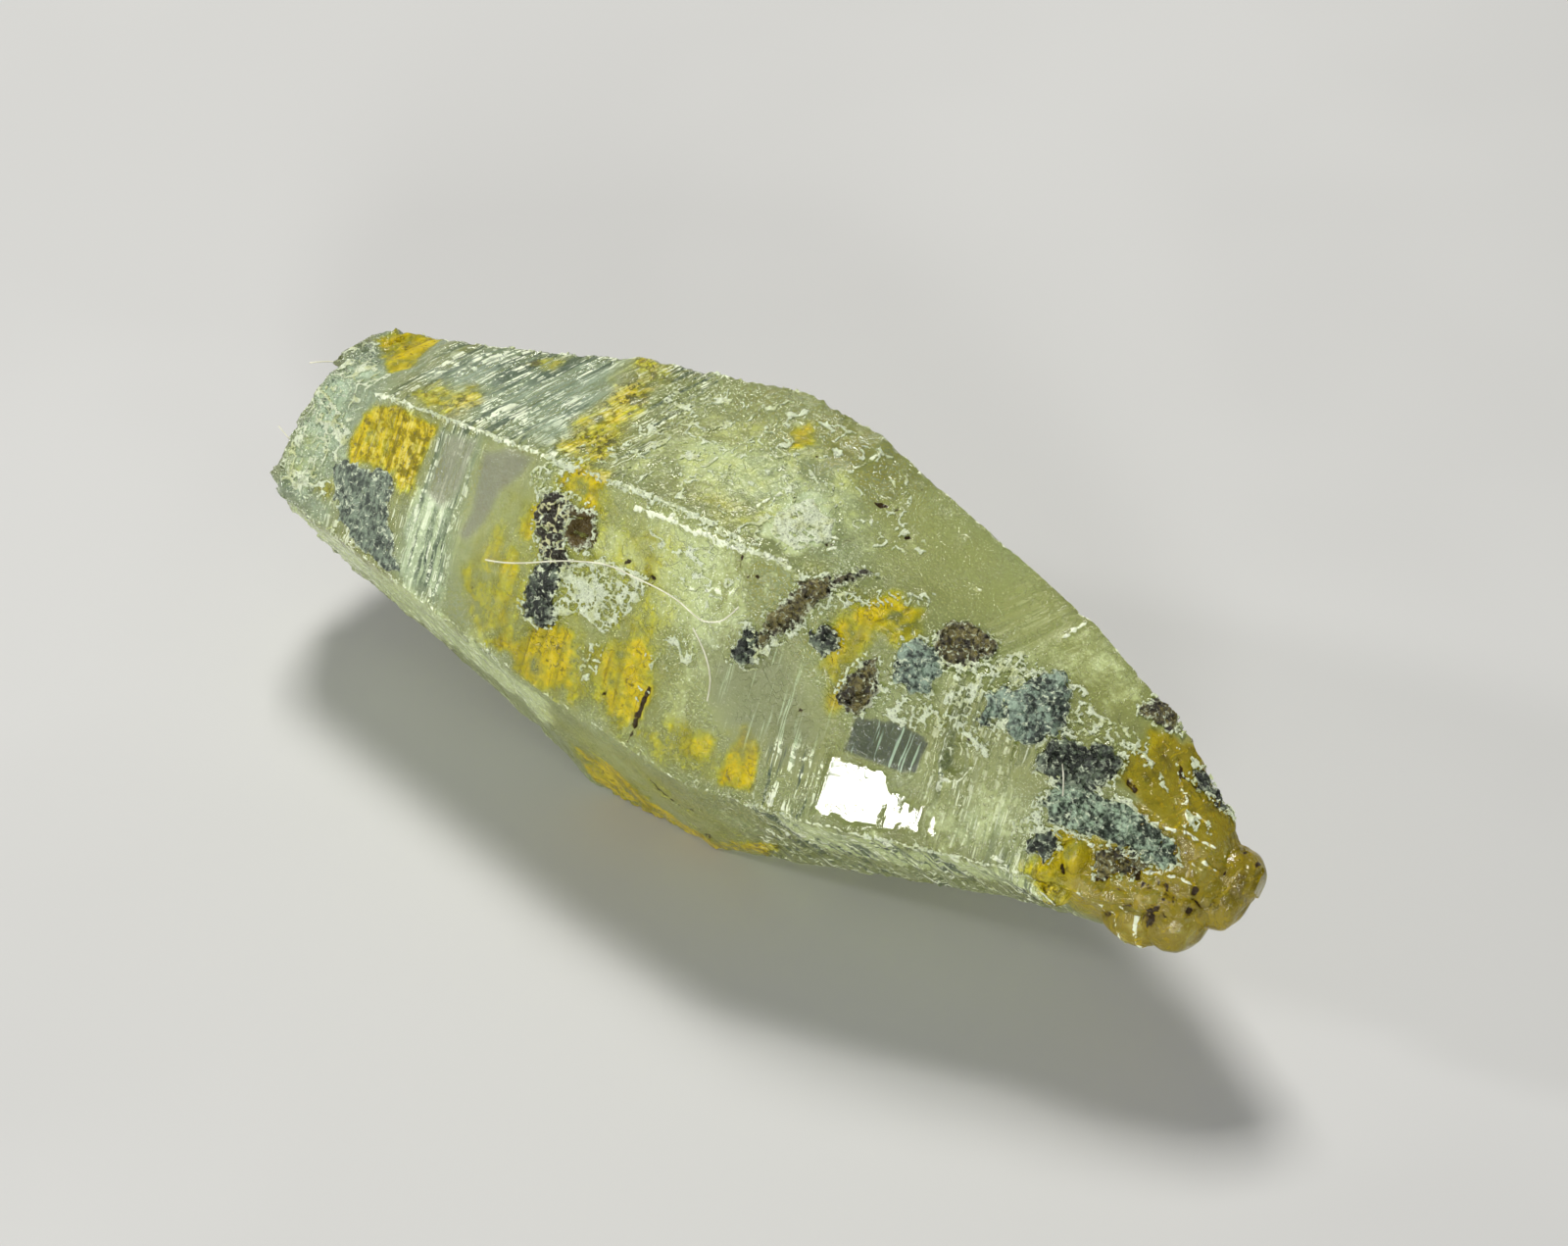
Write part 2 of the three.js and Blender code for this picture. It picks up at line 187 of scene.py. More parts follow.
# ---- noise, worked out on whole arrays ----
def hashed(cell, seed):
    a = cell.astype(np.int64).astype(np.uint32)
    n = a[:, 0] * np.uint32(374761393) + a[:, 1] * np.uint32(668265263) + a[:, 2] * np.uint32(2246822519)
    n = n + np.uint32(seed * 3266489 + 1013904223)
    n = (n ^ (n >> np.uint32(15))) * np.uint32(2246822519)
    n = (n ^ (n >> np.uint32(13))) * np.uint32(3266489917)
    n = n ^ (n >> np.uint32(16))
    return n / 4294967295.0


def noise(points, size, seed):
    # soft noise from -1 to 1; size may be one number or one for each direction
    q = points / np.asarray(size, float)
    cell = np.floor(q)
    f = q - cell
    f = f * f * (3 - 2 * f)
    total = np.zeros(len(points))
    for corner in ((a, b, c) for a in (0, 1) for b in (0, 1) for c in (0, 1)):
        share = np.ones(len(points))
        for axis, one in enumerate(corner):
            share = share * (f[:, axis] if one else 1 - f[:, axis])
        total += share * hashed(cell + np.array(corner), seed)
    return total * 2 - 1


def rough(points, size, seed, octaves=3):
    total = np.zeros(len(points))
    for k in range(octaves):
        total += noise(points, np.asarray(size, float) / 2 ** k, seed + k) / 2 ** k
    return total / (2 - 2.0 ** (1 - octaves))


def grains(points, size, seed):
    # scattered points, each with a cell round it: distance to the nearest and the second nearest,
    # a number that is the cell's own, and the height on a plane that leans the cell's own way
    q = points / np.asarray(size, float)
    cell = np.floor(q)
    near = np.full(len(points), 9.0)
    second = near.copy()
    owner = np.zeros(len(points))
    lean = np.zeros(len(points))
    for offset in ((a, b, c) for a in (-1, 0, 1) for b in (-1, 0, 1) for c in (-1, 0, 1)):
        here = cell + np.array(offset)
        spots = np.stack([hashed(here, seed + k) for k in (0, 1, 2)], 1)
        way = q - here - spots
        away = np.linalg.norm(way, axis=1)
        closer = away < near
        second = np.where(closer, near, np.minimum(second, away))
        owner = np.where(closer, hashed(here, seed + 3), owner)
        lean = np.where(closer, (way * (spots[:, [1, 2, 0]] * 2 - 1)).sum(1), lean)
        near = np.minimum(near, away)
    return near, second, owner, lean


def veins(points, size, seed):
    # 1 along thin winding lines, falling to 0 on both sides
    warped = points + 0.5 * size * noise(points + 50, size * 1.7, seed + 7)[:, None]
    return 1 - np.clip(np.abs(noise(warped, size, seed)) * 3.2, 0, 1)


def ramp(value, low, high):
    t = np.clip((value - low) / (high - low), 0, 1)
    return t * t * (3 - 2 * t)


def window(value, start, end, soft):
    return ramp(value, start - soft, start + soft) * (1 - ramp(value, end - soft, end + soft))


# ---- outlines on the map ----
def outlineDepth(outline, x, w):
    # how deep inside an outline each place lies, in mm; below zero outside it
    shape = np.array(outline, float)
    middle = shape.mean(0)
    scale = sideWidth(middle[0], int(middle[1]))
    px, py = x, w * scale
    ax, ay = shape[:, 0], shape[:, 1] * scale
    away = np.full(len(px), 1e9)
    inside = np.zeros(len(px), bool)
    for i in range(len(shape)):
        x0, y0 = ax[i - 1], ay[i - 1]
        x1, y1 = ax[i], ay[i]
        dx, dy = x1 - x0, y1 - y0
        t = np.clip(((px - x0) * dx + (py - y0) * dy) / max(dx * dx + dy * dy, 1e-12), 0, 1)
        away = np.minimum(away, np.hypot(px - x0 - dx * t, py - y0 - dy * t))
        if dy:
            inside ^= ((y0 > py) != (y1 > py)) & (px < x0 + (py - y0) * dx / dy)
    return np.where(inside, away, -away)


def lineDistance(line, x, w):
    # distance in mm from a line drawn on the map
    shape = np.array(line, float)
    scale = sideWidth(shape[:, 0].mean(), int(shape[:, 1].mean()))
    away = np.full(len(x), 1e9)
    for (x0, w0), (x1, w1) in zip(shape, shape[1:]):
        dx, dy = x1 - x0, (w1 - w0) * scale
        t = np.clip(((x - x0) * dx + (w - w0) * scale * dy) / max(dx * dx + dy * dy, 1e-12), 0, 1)
        away = np.minimum(away, np.hypot(x - x0 - dx * t, (w - w0) * scale - dy * t))
    return away


# ---- what lies where on the crystal ----
etchedZones = {  # rough patches: outline, strength, softness
    # the gaps under the lace: painted shade from the etched dark grains
    "shadedUnderLace": (
        ((-3.9, 1.57), (-2.8, 1.69), (-1.3, 1.68), (-1.2, 1.6), (-1.8, 1.44), (-2.9, 1.38),
         (-3.8, 1.32)), 1.0, 0.1),
    "topFrost": (
        ((1.1, 2.2), (1.1, 2.3), (1.5, 2.38), (2.1, 2.38), (2.24, 2.25), (1.9, 2.15), (1.5, 2.15)), 0.9, 0.1),
    "besideLace": (
        ((-2.3, 1.93), (-1.3, 1.96), (1.4, 1.95), (2.7, 1.85), (1.6, 1.7), (0.0, 1.7),
         (-1.3, 1.75)), 0.45, 0.3),
}
# iron stains under the surface: outline, strength, softness of the rim in mm
stains = {
    "windowByTheBreak": (
        ((-11.8, 1.85), (-10.9, 1.94), (-10.0, 1.97), (-9.1, 1.93), (-9.15, 1.7), (-9.3, 1.55), (-9.7, 1.44),
         (-10.1, 1.56), (-11.5, 1.52), (-11.8, 1.62)), 1.0, 0.1),
    "topCorner": (
        ((-13.5, 2.85), (-12.9, 3.0), (-12.0, 2.98), (-11.6, 2.77), (-11.5, 2.5), (-11.8, 2.35),
         (-12.5, 2.48)), 1.1, 0.12),
    "endSpot": (((-12.8, 1.2), (-12.27, 1.3), (-11.83, 1.27), (-11.83, 1.18), (-12.4, 1.12)), 0.6, 0.2),
    "endHaze": (
        ((-13.9, 1.4), (-13.3, 1.57), (-12.6, 1.55), (-12.2, 1.36), (-12.8, 1.2), (-13.7, 1.12)), 0.42, 0.3),
    "topByTheBreak": (
        ((-10.4, 2.1), (-10.2, 2.36), (-9.2, 2.4), (-8.4, 2.32), (-8.5, 2.1), (-8.9, 1.99),
         (-9.6, 2.01)), 0.75, 0.25),
    "topEdgeSpot": (((-8.5, 2.8), (-8.16, 2.94), (-7.5, 2.9), (-7.7, 2.76)), 0.55, 0.2),
    "topBand": (
        ((-5.8, 2.98), (-4.9, 2.98), (-4.2, 2.45), (-3.6, 2.1), (-4.2, 2.06), (-5.3, 2.1),
         (-5.4, 2.45)), 0.75, 0.3),
    "aboveMiddleCrust": (((-4.8, 1.9), (-4.2, 2.06), (-3.3, 2.04), (-3.0, 1.82), (-3.9, 1.78)), 0.95, 0.2),
    "faceWhole": (
        ((-6.9, 1.3), (-6.3, 1.78), (-4.9, 1.88), (-3.0, 1.95), (-1.0, 1.95), (0.2, 1.5), (0.4, 1.02),
         (-6.0, 1.02)), 0.4, 0.4),
    "faceLower": (
        ((-6.8, 1.38), (-6.5, 1.6), (-5.7, 1.7), (-4.2, 1.35), (-2.2, 1.4), (-1.1, 1.55), (-0.5, 1.4),
         (-0.1, 1.2), (-0.5, 1.05), (-2.7, 1.0), (-4.9, 1.02)), 0.62, 0.35),
    "faceLeft": (
        ((-6.95, 1.3), (-6.4, 1.5), (-5.4, 1.54), (-4.8, 1.5), (-4.6, 1.25), (-5.2, 1.1),
         (-6.5, 1.08)), 0.62, 0.2),
    "oliveByHole": (((-5.8, 1.68), (-5.2, 1.76), (-4.9, 1.62), (-5.2, 1.54), (-5.7, 1.56)), 0.8, 0.15),
    "faceDeep": (
        ((-5.3, 1.06), (-4.5, 1.2), (-3.8, 1.28), (-2.95, 1.33), (-2.6, 1.22), (-2.5, 1.1), (-2.9, 1.0),
         (-4.2, 1.0)), 1.3, 0.2),
    "faceRight": (
        ((-1.9, 1.3), (-1.8, 1.4), (-0.7, 1.5), (-0.2, 1.32), (-0.2, 1.14), (-0.9, 1.04),
         (-1.6, 1.1)), 0.9, 0.2),
    "faceStrip": (((-2.0, 1.85), (-1.4, 1.92), (-0.9, 1.75), (-0.85, 1.55), (-1.3, 1.55)), 0.6, 0.25),
    "lowerEdge": (
        ((-0.7, 1.1), (0.6, 1.2), (1.6, 1.27), (2.1, 1.27), (2.1, 1.18), (1.9, 1.06),
         (-0.2, 1.02)), 0.66, 0.2),
    "lowerSpot": (
        ((2.25, 1.04), (2.18, 1.18), (2.48, 1.29), (2.98, 1.26), (2.92, 1.18), (2.98, 1.07)), 1.2, 0.04),
    "topSpot": (((-0.65, 2.72), (-0.4, 2.86), (-0.05, 2.88), (0.3, 2.74), (-0.05, 2.6)), 1.1, 0.1),
    "topHaze": (((-4.0, 2.1), (-3.4, 2.9), (0.8, 2.9), (3.4, 2.6), (2.6, 2.04)), 0.26, 0.6),
    "topMiddle": (((-1.5, 2.03), (-0.6, 2.2), (0.4, 2.3), (1.5, 2.33), (1.7, 2.2), (-0.3, 2.03)), 0.42, 0.5),
    "belowStreak": (((4.0, 1.95), (4.3, 2.2), (5.2, 2.26), (5.6, 2.1), (5.1, 1.96)), 0.95, 0.2),
    "aboveStreak": (((2.38, 2.08), (2.67, 2.2), (2.92, 2.2), (2.87, 2.05), (2.63, 1.98)), 0.45, 0.2),
    "besideRoundLump": (((3.8, 1.92), (4.8, 1.95), (4.6, 1.72), (4.2, 1.55), (3.8, 1.72)), 0.95, 0.2),
    "bulgeBelow": (
        ((-3.5, 0.5), (-2.1, 0.48), (-1.1, 0.25), (0.8, 0.16), (2.4, 0.24), (1.3, -0.1), (-2.2, -0.1),
         (-3.3, 0.1)), 1.1, 0.2),
    "bulgeHaze": (((-4.0, 0.8), (-0.6, 0.94), (1.7, 0.7), (2.2, 0.2), (0.0, 0.05), (-3.2, 0.1)), 0.35, 0.5),
    "tipFace": (
        ((10.9, 2.75), (12.0, 2.88), (13.6, 2.9), (13.6, 2.1), (12.3, 2.02), (11.3, 2.0),
         (11.2, 2.35)), 1.1, 0.15),
    "tipFront": (
        ((9.9, 1.36), (10.8, 1.5), (11.6, 1.45), (13.7, 1.9), (13.7, 0.02), (11.6, 0.02),
         (10.2, 0.6)), 1.0, 0.2),
    "backShoulder": (((-8.6, 3.3), (-7.0, 3.75), (-5.4, 3.6), (-6.2, 3.2)), 0.9, 0.4),
    "backMiddle": (((0.6, 3.2), (2.6, 3.35), (3.6, 3.7), (1.6, 3.75)), 0.7, 0.5),
    "backBelow": (((-3.4, 4.3), (-0.8, 4.2), (0.4, 4.6), (-2.4, 4.8)), 0.95, 0.4),
    "backTip": (((5.4, 4.2), (7.6, 4.3), (7.2, 4.7), (5.6, 4.6)), 0.6, 0.4),
    "backBreak": (((-11.6, 4.3), (-9.6, 4.25), (-9.2, 4.7), (-11.0, 4.75)), 0.8, 0.4),
    "underside": (((-9.0, 5.3), (-6.0, 5.2), (-5.6, 5.7), (-8.4, 5.8)), 0.7, 0.5),
}
tipStain = {"start": 11.2, "full": 12.4, "strength": 1.0}
coolBands = {  # grey-green growth bands: outline, strength, softness
    "etchedEnd": (
        ((-13.9, 0.9), (-13.6, 3.2), (-11.5, 3.1), (-11.2, 2.0), (-11.8, 1.5), (-11.6, 1.05)), 1.0, 0.3),
    "faceStripes": (
        ((-9.0, 1.96), (-7.6, 1.96), (-7.5, 1.6), (-7.3, 1.02), (-9.4, 1.02), (-9.0, 1.5)), 0.6, 0.12),
    "topStripes": (
        ((-11.0, 2.4), (-10.4, 2.98), (-6.3, 2.98), (-5.4, 2.6), (-5.2, 2.1), (-8.2, 2.03)), 1.0, 0.3),
    "besideMiddle": (((0.4, 1.6), (1.6, 1.9), (3.2, 1.75), (3.8, 1.3), (2.0, 1.25), (0.4, 1.35)), 0.08, 0.5),
    "topPale": (((-2.6, 2.4), (0.4, 2.66), (2.8, 2.5), (3.2, 2.2), (1.2, 2.1), (-1.4, 2.3)), 0.6, 0.5),
    "backStripes": (((-12.5, 3.1), (-9.0, 3.2), (-8.4, 4.6), (-12.0, 4.8)), 0.7, 0.6),
}
paintedReflectionFacets = {  # smooth facets with a painted lavender-grey reflection of the surroundings
    "reflectingStrip": (
        ((-8.8, 1.93), (-7.65, 1.95), (-7.7, 1.7), (-7.85, 1.57), (-8.2, 1.5), (-8.8, 1.53),
         (-8.8, 1.75)), 0.34, 0.06),
    "reflectingPane": (
        ((-7.35, 1.9), (-6.6, 1.97), (-5.7, 1.97), (-6.0, 1.86), (-6.5, 1.74), (-6.7, 1.55), (-7.1, 1.42),
         (-7.35, 1.44), (-7.2, 1.6)), 0.5, 0.06),
}
milkyZones = {  # cloudy pale zones: outline, strength, softness
    "faceMiddle": (((-2.0, 1.97), (1.3, 1.97), (1.7, 1.7), (0.4, 1.5), (-0.9, 1.56), (-1.7, 1.75)), 0.8, 0.4),
    "faceLower": (((0.2, 1.5), (0.9, 1.45), (0.8, 1.1), (0.1, 1.1)), 0.6, 0.3),
    "faceVeil": (((-0.1, 1.62), (0.7, 1.6), (1.3, 1.76), (1.9, 1.87), (0.7, 1.77), (0.0, 1.73)), 0.9, 0.15),
    "topMiddle": (((-3.8, 2.1), (-3.2, 2.8), (0.6, 2.7), (3.2, 2.5), (2.6, 2.1)), 0.62, 0.8),
    "paleFlow": (
        ((-2.2, 2.25), (-2.6, 2.5), (-1.5, 2.58), (-1.1, 2.5), (-0.7, 2.27), (-1.5, 2.12)), 0.8, 0.2),
    "topFrost": (((0.9, 2.24), (1.3, 2.44), (2.3, 2.42), (2.6, 2.26), (2.1, 2.08), (1.3, 2.1)), 1.5, 0.12),
    "topEnd": (
        ((7.4, 2.3), (8.0, 2.65), (8.4, 2.97), (10.4, 2.98), (10.65, 2.8), (10.0, 2.5),
         (9.0, 2.55)), 0.4, 0.15),
    "underLeft": (((-9.5, 0.97), (-6.0, 0.97), (-3.5, 0.9), (-4.5, 0.4), (-9.0, 0.3)), 1.2, 0.3),
    "aboveLace": (
        ((-3.5, 1.69), (-2.8, 1.82), (-1.7, 1.78), (-1.2, 1.7), (-2.2, 1.66), (-3.0, 1.68)), 0.9, 0.12),
    "faceEnd": (((6.9, 1.6), (9.2, 1.62), (9.9, 1.3), (9.9, 1.06), (6.9, 1.04)), 0.5, 0.4),
    "endGlow": (
        ((-13.9, 1.1), (-13.7, 1.9), (-12.9, 2.4), (-12.0, 2.3), (-12.2, 1.4), (-12.6, 1.1)), 0.8, 0.3),
    "lowerBand": (((3.2, 0.98), (10.4, 0.98), (9.8, 0.5), (4.0, 0.4)), 1.0, 0.3),
    "wedge": (((-13.8, 0.95), (-8.0, 0.99), (-5.5, 0.7), (-9.0, 0.1), (-13.8, 0.1)), 0.8, 0.3),
    "faceStripes": (((-9.1, 1.56), (-8.0, 1.56), (-7.3, 1.1), (-8.9, 1.05)), 0.8, 0.12),
    "backMiddle": (((-2.5, 3.2), (2.8, 3.3), (2.2, 3.9), (-2.8, 3.9)), 0.6, 0.6),
    "belowBack": (((1.0, 4.2), (6.4, 4.3), (5.8, 4.9), (0.6, 4.9)), 0.6, 0.6),
}
olivePanes = {  # smooth clear growth faces
    "topRight": (((1.6, 2.25), (3.0, 2.98), (12.0, 2.98), (10.6, 2.5), (8.0, 2.45), (5.6, 2.3)), 0.8, 0.5),
    "faceRight": (((0.8, 1.55), (2.3, 1.72), (4.2, 1.58), (4.8, 1.35), (4.4, 1.15), (1.2, 1.2)), 0.9, 0.5),
}
shadedPanes = {  # growth faces darkened with painted shade
    "faceRight": (
        ((0.9, 1.55), (2.3, 1.72), (4.0, 1.6), (4.5, 1.36), (3.9, 1.24), (3.2, 1.24),
         (1.3, 1.34)), 0.62, 0.35),
}
mirrorPane = {"outline": ((4.6, 1.365), (5.9, 1.38), (6.3, 1.31), (7.1, 1.26), (8.0, 1.12), (7.3, 1.06),
                          (5.9, 1.045), (4.6, 1.05)),
              "middle": (5.8, 1.22), "soft": 0.03, "lean": 0.0, "sunk": 0.03}
# a flat pane whose dark grey is a painted dark reflection
darkPane = {"outline": ((4.9, 1.56), (6.1, 1.63), (6.75, 1.6), (6.7, 1.4), (5.9, 1.385), (4.85, 1.375)),
            "middle": (5.8, 1.48), "soft": 0.03, "lean": 0.09, "sunk": 0.03}
darkLines = {  # brown lines and specks: points, half width in mm, strength
    "keelMark": (((-0.4, 1.27), (-0.42, 1.18), (-0.5, 1.11), (-0.53, 1.03)), 0.05, 1.0),
    "speckByLace": (((-1.1, 1.7), (-1.19, 1.68), (-1.15, 1.62)), 0.08, 1.0),
    "speckLeft": (((-2.07, 1.7), (-1.97, 1.7)), 0.06, 0.8),
    "speckUnderLine": (((1.08, 1.93), (1.13, 1.9)), 0.06, 0.9),
    "speckMiddle": (((1.42, 1.88), (1.61, 1.9)), 0.06, 0.9),
    "speckOverFrost": (((1.22, 2.42), (1.32, 2.42)), 0.05, 0.9),
    "ringHole": (((2.48, 2.25), (2.58, 2.27)), 0.08, 0.9),
    "besideRing": (((2.72, 2.3), (2.8, 2.36), (2.96, 2.4)), 0.05, 0.6),
    "speckLow": (((-1.62, 1.17), (-1.58, 1.15)), 0.05, 0.9),
    "speckUpper": (((0.0, 1.56), (0.03, 1.55)), 0.04, 0.7),
    "scratchA": (((2.6, 2.66), (3.0, 2.7)), 0.035, 1.0),
    "scratchB": (((2.8, 2.62), (3.15, 2.66)), 0.03, 0.9),
    "scratchC": (((3.7, 2.6), (3.8, 2.62)), 0.05, 0.9),
    "topEdgeMark": (((0.5, 2.66), (0.9, 2.8), (1.5, 2.86)), 0.05, 0.6),
    "bulgeMark": (((-0.45, 0.63), (-0.25, 0.52), (0.2, 0.48), (0.7, 0.54)), 0.1, 1.0),
    "bulgeMarkRight": (((0.15, 0.46), (0.1, 0.28), (0.74, 0.12)), 0.07, 0.9),
    "besideSplinter": (((10.15, 0.6), (10.33, 0.45)), 0.16, 0.9),
    "tipGap": (
        ((12.8, 0.62), (12.92, 0.8), (12.88, 0.92), (13.08, 1.02), (13.1, 1.14), (13.28, 1.18)), 0.17, 0.66),
    "tipGapDeep": (((12.9, 0.76), (12.9, 0.86), (13.02, 0.98)), 0.12, 0.95),
    "tipSeam": (((13.72, 1.48), (13.72, 1.4)), 0.08, 1.0),
    "tipSeamLow": (((13.75, 1.05), (13.76, 0.92)), 0.06, 1.0),
    "tipPatch": (((12.5, 1.2), (12.8, 1.28), (13.15, 1.3)), 0.2, 0.6),
    "tipUpper": (((11.43, 2.12), (11.62, 2.1)), 0.08, 1.0),
    "tipShoulder": (((11.96, 2.73), (12.2, 2.67)), 0.07, 0.9),
    "tipShoulderFar": (((12.54, 2.73), (12.93, 2.7)), 0.08, 0.9),
    "tipSpeck": (((12.1, 2.67), (12.2, 2.62)), 0.06, 1.0),
    "knobSpeck": (((10.7, 1.18), (10.73, 1.13)), 0.05, 1.0),
    "besideTrail": (((11.5, 1.15), (11.75, 1.2), (12.0, 1.32)), 0.07, 0.9),
    "pitRim": (((7.36, 1.68), (7.6, 1.715), (7.84, 1.67)), 0.035, 0.7),
    "trailRoot": (((11.9, 1.42), (12.3, 1.42), (12.4, 1.3)), 0.09, 0.9),
}
dents = {  # outline, depth
    "besideMiddleCrust": (((-4.1, 1.79), (-3.5, 1.815), (-3.34, 1.77), (-3.4, 1.71), (-4.0, 1.7)), 0.2),
}
wornEdges = (  # edge, from, to, strength of the pale chipped line
    (2, -11.6, -5.0, 0.95),
    (2, -5.0, 1.3, 1.0),
    (2, 1.3, 3.4, 0.8),
    (1, -12.8, -5.0, 0.72),
    (1, -5.0, 4.0, 0.7),
    (1, 4.0, 10.2, 0.85),
    (3, -12.6, -2.0, 0.8),
    (3, -2.0, 11.0, 0.7),
    (4, -12.6, 11.5, 0.75),
    (0, -12.6, 11.0, 0.7),
    (5, -12.6, 11.0, 0.7),
)
growthSlant = 1.2  # how far the steps on the top run along the crystal while they cross it
# side, from, to, shortest and longest tread, share of the step that is cut, ribs, and how far up the side
growthZones = (
    (0, -13.2, -4.8, 0.15, 0.6, 0.7, 0.6),
    (0, 2.0, 10.9, 0.1, 0.3, 0.8, 1.0),
    (1, -11.9, -8.9, 0.08, 0.2, 0.15, 0.7),
    (1, -9.2, -7.4, 0.08, 0.2, 0.45, 1.0),
    (1, 3.0, 5.0, 0.08, 0.24, 0.3, 1.0, 1.3),
    (1, 6.8, 10.2, 0.12, 0.4, 0.5, 0.8),
    (2, -11.3, -3.0, 0.14, 0.5, 1.0, 1.0),
    (2, 6.6, 10.4, 0.2, 0.6, 0.1, 0.15),
    (3, -12.2, -2.8, 0.16, 0.6, 0.9, 0.55),
    (3, 2.4, 12.4, 0.14, 0.5, 0.5, 0.45),
    (4, -12.6, -3.8, 0.16, 0.6, 0.9, 0.5),
    (4, 2.6, 12.2, 0.14, 0.5, 0.8, 0.45),
    (5, -12.8, -5.4, 0.16, 0.6, 0.7, 0.5),
    (5, 2.8, 12.2, 0.14, 0.5, 0.7, 0.5),
)
tipLumps = (  # centre, half sizes
    ((14.12, -0.6, 5.5), (0.77, 0.74, 0.74)),
    ((13.65, -0.95, 5.05), (1.05, 1.0, 1.0)),
    ((13.2, -1.7, 4.4), (0.85, 0.82, 0.85)),
    ((12.2, -1.9, 3.9), (0.9, 0.6, 0.75)),
    ((10.85, -2.62, 5.85), (0.34, 0.42, 0.64)),
    ((10.32, -2.85, 5.5), (0.3, 0.47, 0.42)),
    ((11.5, -2.3, 4.9), (0.8, 0.5, 0.5)),
    ((13.0, -0.1, 6.3), (0.75, 0.5, 0.5)),
    ((10.5, -3.0, 4.75), (0.42, 0.3, 0.3)),
)
brokenFaces = (  # middle in y and z, where the face stands in x, how it leans along y and z
    (0.95, 7.0, -13.95, 0.15, 0.25),
    (0.2, 6.2, -13.35, 0.1, 0.1),
    (-0.9, 6.4, -13.92, 0.1, 0.35),
    (-1.7, 5.5, -13.98, 0.1, 0.15),
    (-2.3, 4.5, -14.25, 0.12, 0.05),
    (-1.9, 3.4, -14.25, 0.1, -0.15),
    (0.6, 5.0, -14.15, -0.1, 0.1),
    (-0.5, 4.7, -14.42, 0.05, -0.08),
    (0.0, 3.2, -14.0, 0.0, -0.25),
    (1.7, 3.8, -13.85, -0.2, -0.15),
)
splinter = {"foot": (9.9, 0.86), "tip": (10.93, -3.32, 4.68), "back": 1.1, "front": 0.4, "half": 0.3}
ovalPit = {"middle": (7.52, 1.57), "length": 0.42, "width": 0.42, "depth": 0.14}
stripeShear = (-0.3, 0.2)  # the fine stripes drift along the crystal by this much for each mm in y and z
paleLines = (  # pale raised streaks
    ((1.56, 2.73), (1.66, 2.8), (1.71, 2.9)),
    ((2.48, 2.7), (2.72, 2.73)),
    ((4.61, 2.85), (4.9, 2.88)),
    ((4.95, 2.35), (5.09, 2.4)),
    ((5.72, 2.62), (5.91, 2.62)),
    ((8.09, 2.73), (8.19, 2.85), (8.33, 2.98)),
    ((12.93, 2.12), (12.97, 2.4), (13.36, 2.45)),
    ((11.14, 2.42), (11.52, 2.45)),
    ((11.09, 1.9), (11.48, 1.93), (11.9, 1.9), (12.3, 1.9), (12.7, 1.95)),
    ((12.7, 1.95), (13.02, 2.02), (13.36, 2.08), (13.7, 2.17)),
    ((12.54, 1.4), (12.93, 1.45), (13.31, 1.5), (13.7, 1.5)),
    ((13.46, 1.75), (13.7, 1.75)),
    ((13.65, 1.87), (13.9, 1.85)),
    ((11.2, 1.0), (11.7, 0.88), (11.91, 0.53), (12.25, 0.28)),
    ((12.15, 0.85), (12.49, 0.6), (12.68, 0.15)),
    ((10.6, 1.42), (10.95, 1.45), (11.25, 1.4), (11.4, 1.25)),
    ((12.2, 2.6), (12.6, 2.45), (12.9, 2.2)),
    ((9.0, 1.08), (9.5, 1.04), (9.83, 0.98), (10.05, 0.6)),
    ((7.12, 1.57), (7.2, 1.48), (7.44, 1.43), (7.7, 1.46), (7.88, 1.56)),
    ((2.38, 2.25), (2.4, 2.3), (2.58, 2.32), (2.68, 2.27), (2.6, 2.22), (2.45, 2.22), (2.38, 2.25)),
    ((0.55, 2.17), (0.69, 2.17), (0.88, 2.2)),
    ((0.55, 2.23), (0.6, 2.29), (0.69, 2.34), (0.7, 2.38)),
    ((0.0, 1.73), (0.4, 1.745), (0.64, 1.77), (1.0, 1.775), (1.27, 1.82), (1.7, 1.85)),
    ((2.92, 0.6), (3.1, 0.47), (3.25, 0.25), (3.05, 0.2), (2.75, 0.2)),
)
# a wider pale line below the upper edge
paleSeam = ((-2.2, 1.93), (-1.7, 1.93), (-1.05, 1.945), (-0.4, 1.945), (0.3, 1.95), (0.84, 1.965),
            (1.5, 1.985), (2.2, 2.02))


def strongest(patches, x, w, ragged):
    # the greatest strength of all the patches that cover each place, with ragged soft rims
    total = np.zeros(len(x))
    for outline, strength, soft in patches.values():
        soft = max(soft, 0.12)
        depth = outlineDepth(outline, x, w) + ragged * (0.12 + soft)
        total = np.maximum(total, strength * ramp(depth, -2 * soft, 2 * soft))
    return total


# ---- the crystal's relief, the same for its body and for what sits on it ----
def swellTip(points):
    # near the tip the surface runs over whichever is further out, the plain body or a lump
    shift = np.interp(points[:, 0], sectionX, sectionShift)
    middle = np.stack([points[:, 0], shift, np.full(len(points), crystal["axisHeight"])], 1)
    out = points - middle
    reach = np.linalg.norm(out, axis=1)
    out = out / np.maximum(reach, 1e-9)[:, None]
    best = reach.copy()
    for centre, size in tipLumps:
        size = np.array(size) * (1 + 0.08 * rough(points + 7, 0.6, 71, 2))[:, None]
        start = (middle - np.array(centre)) / size
        way = out / size
        a = (way ** 2).sum(1)
        b = (start * way).sum(1)
        c = (start ** 2).sum(1) - 1
        inside = b * b - a * c
        hit = np.where(inside > 0, (-b + np.sqrt(np.maximum(inside, 0))) / a, 0)
        best = np.maximum(best, hit)
    return middle + out * best[:, None]


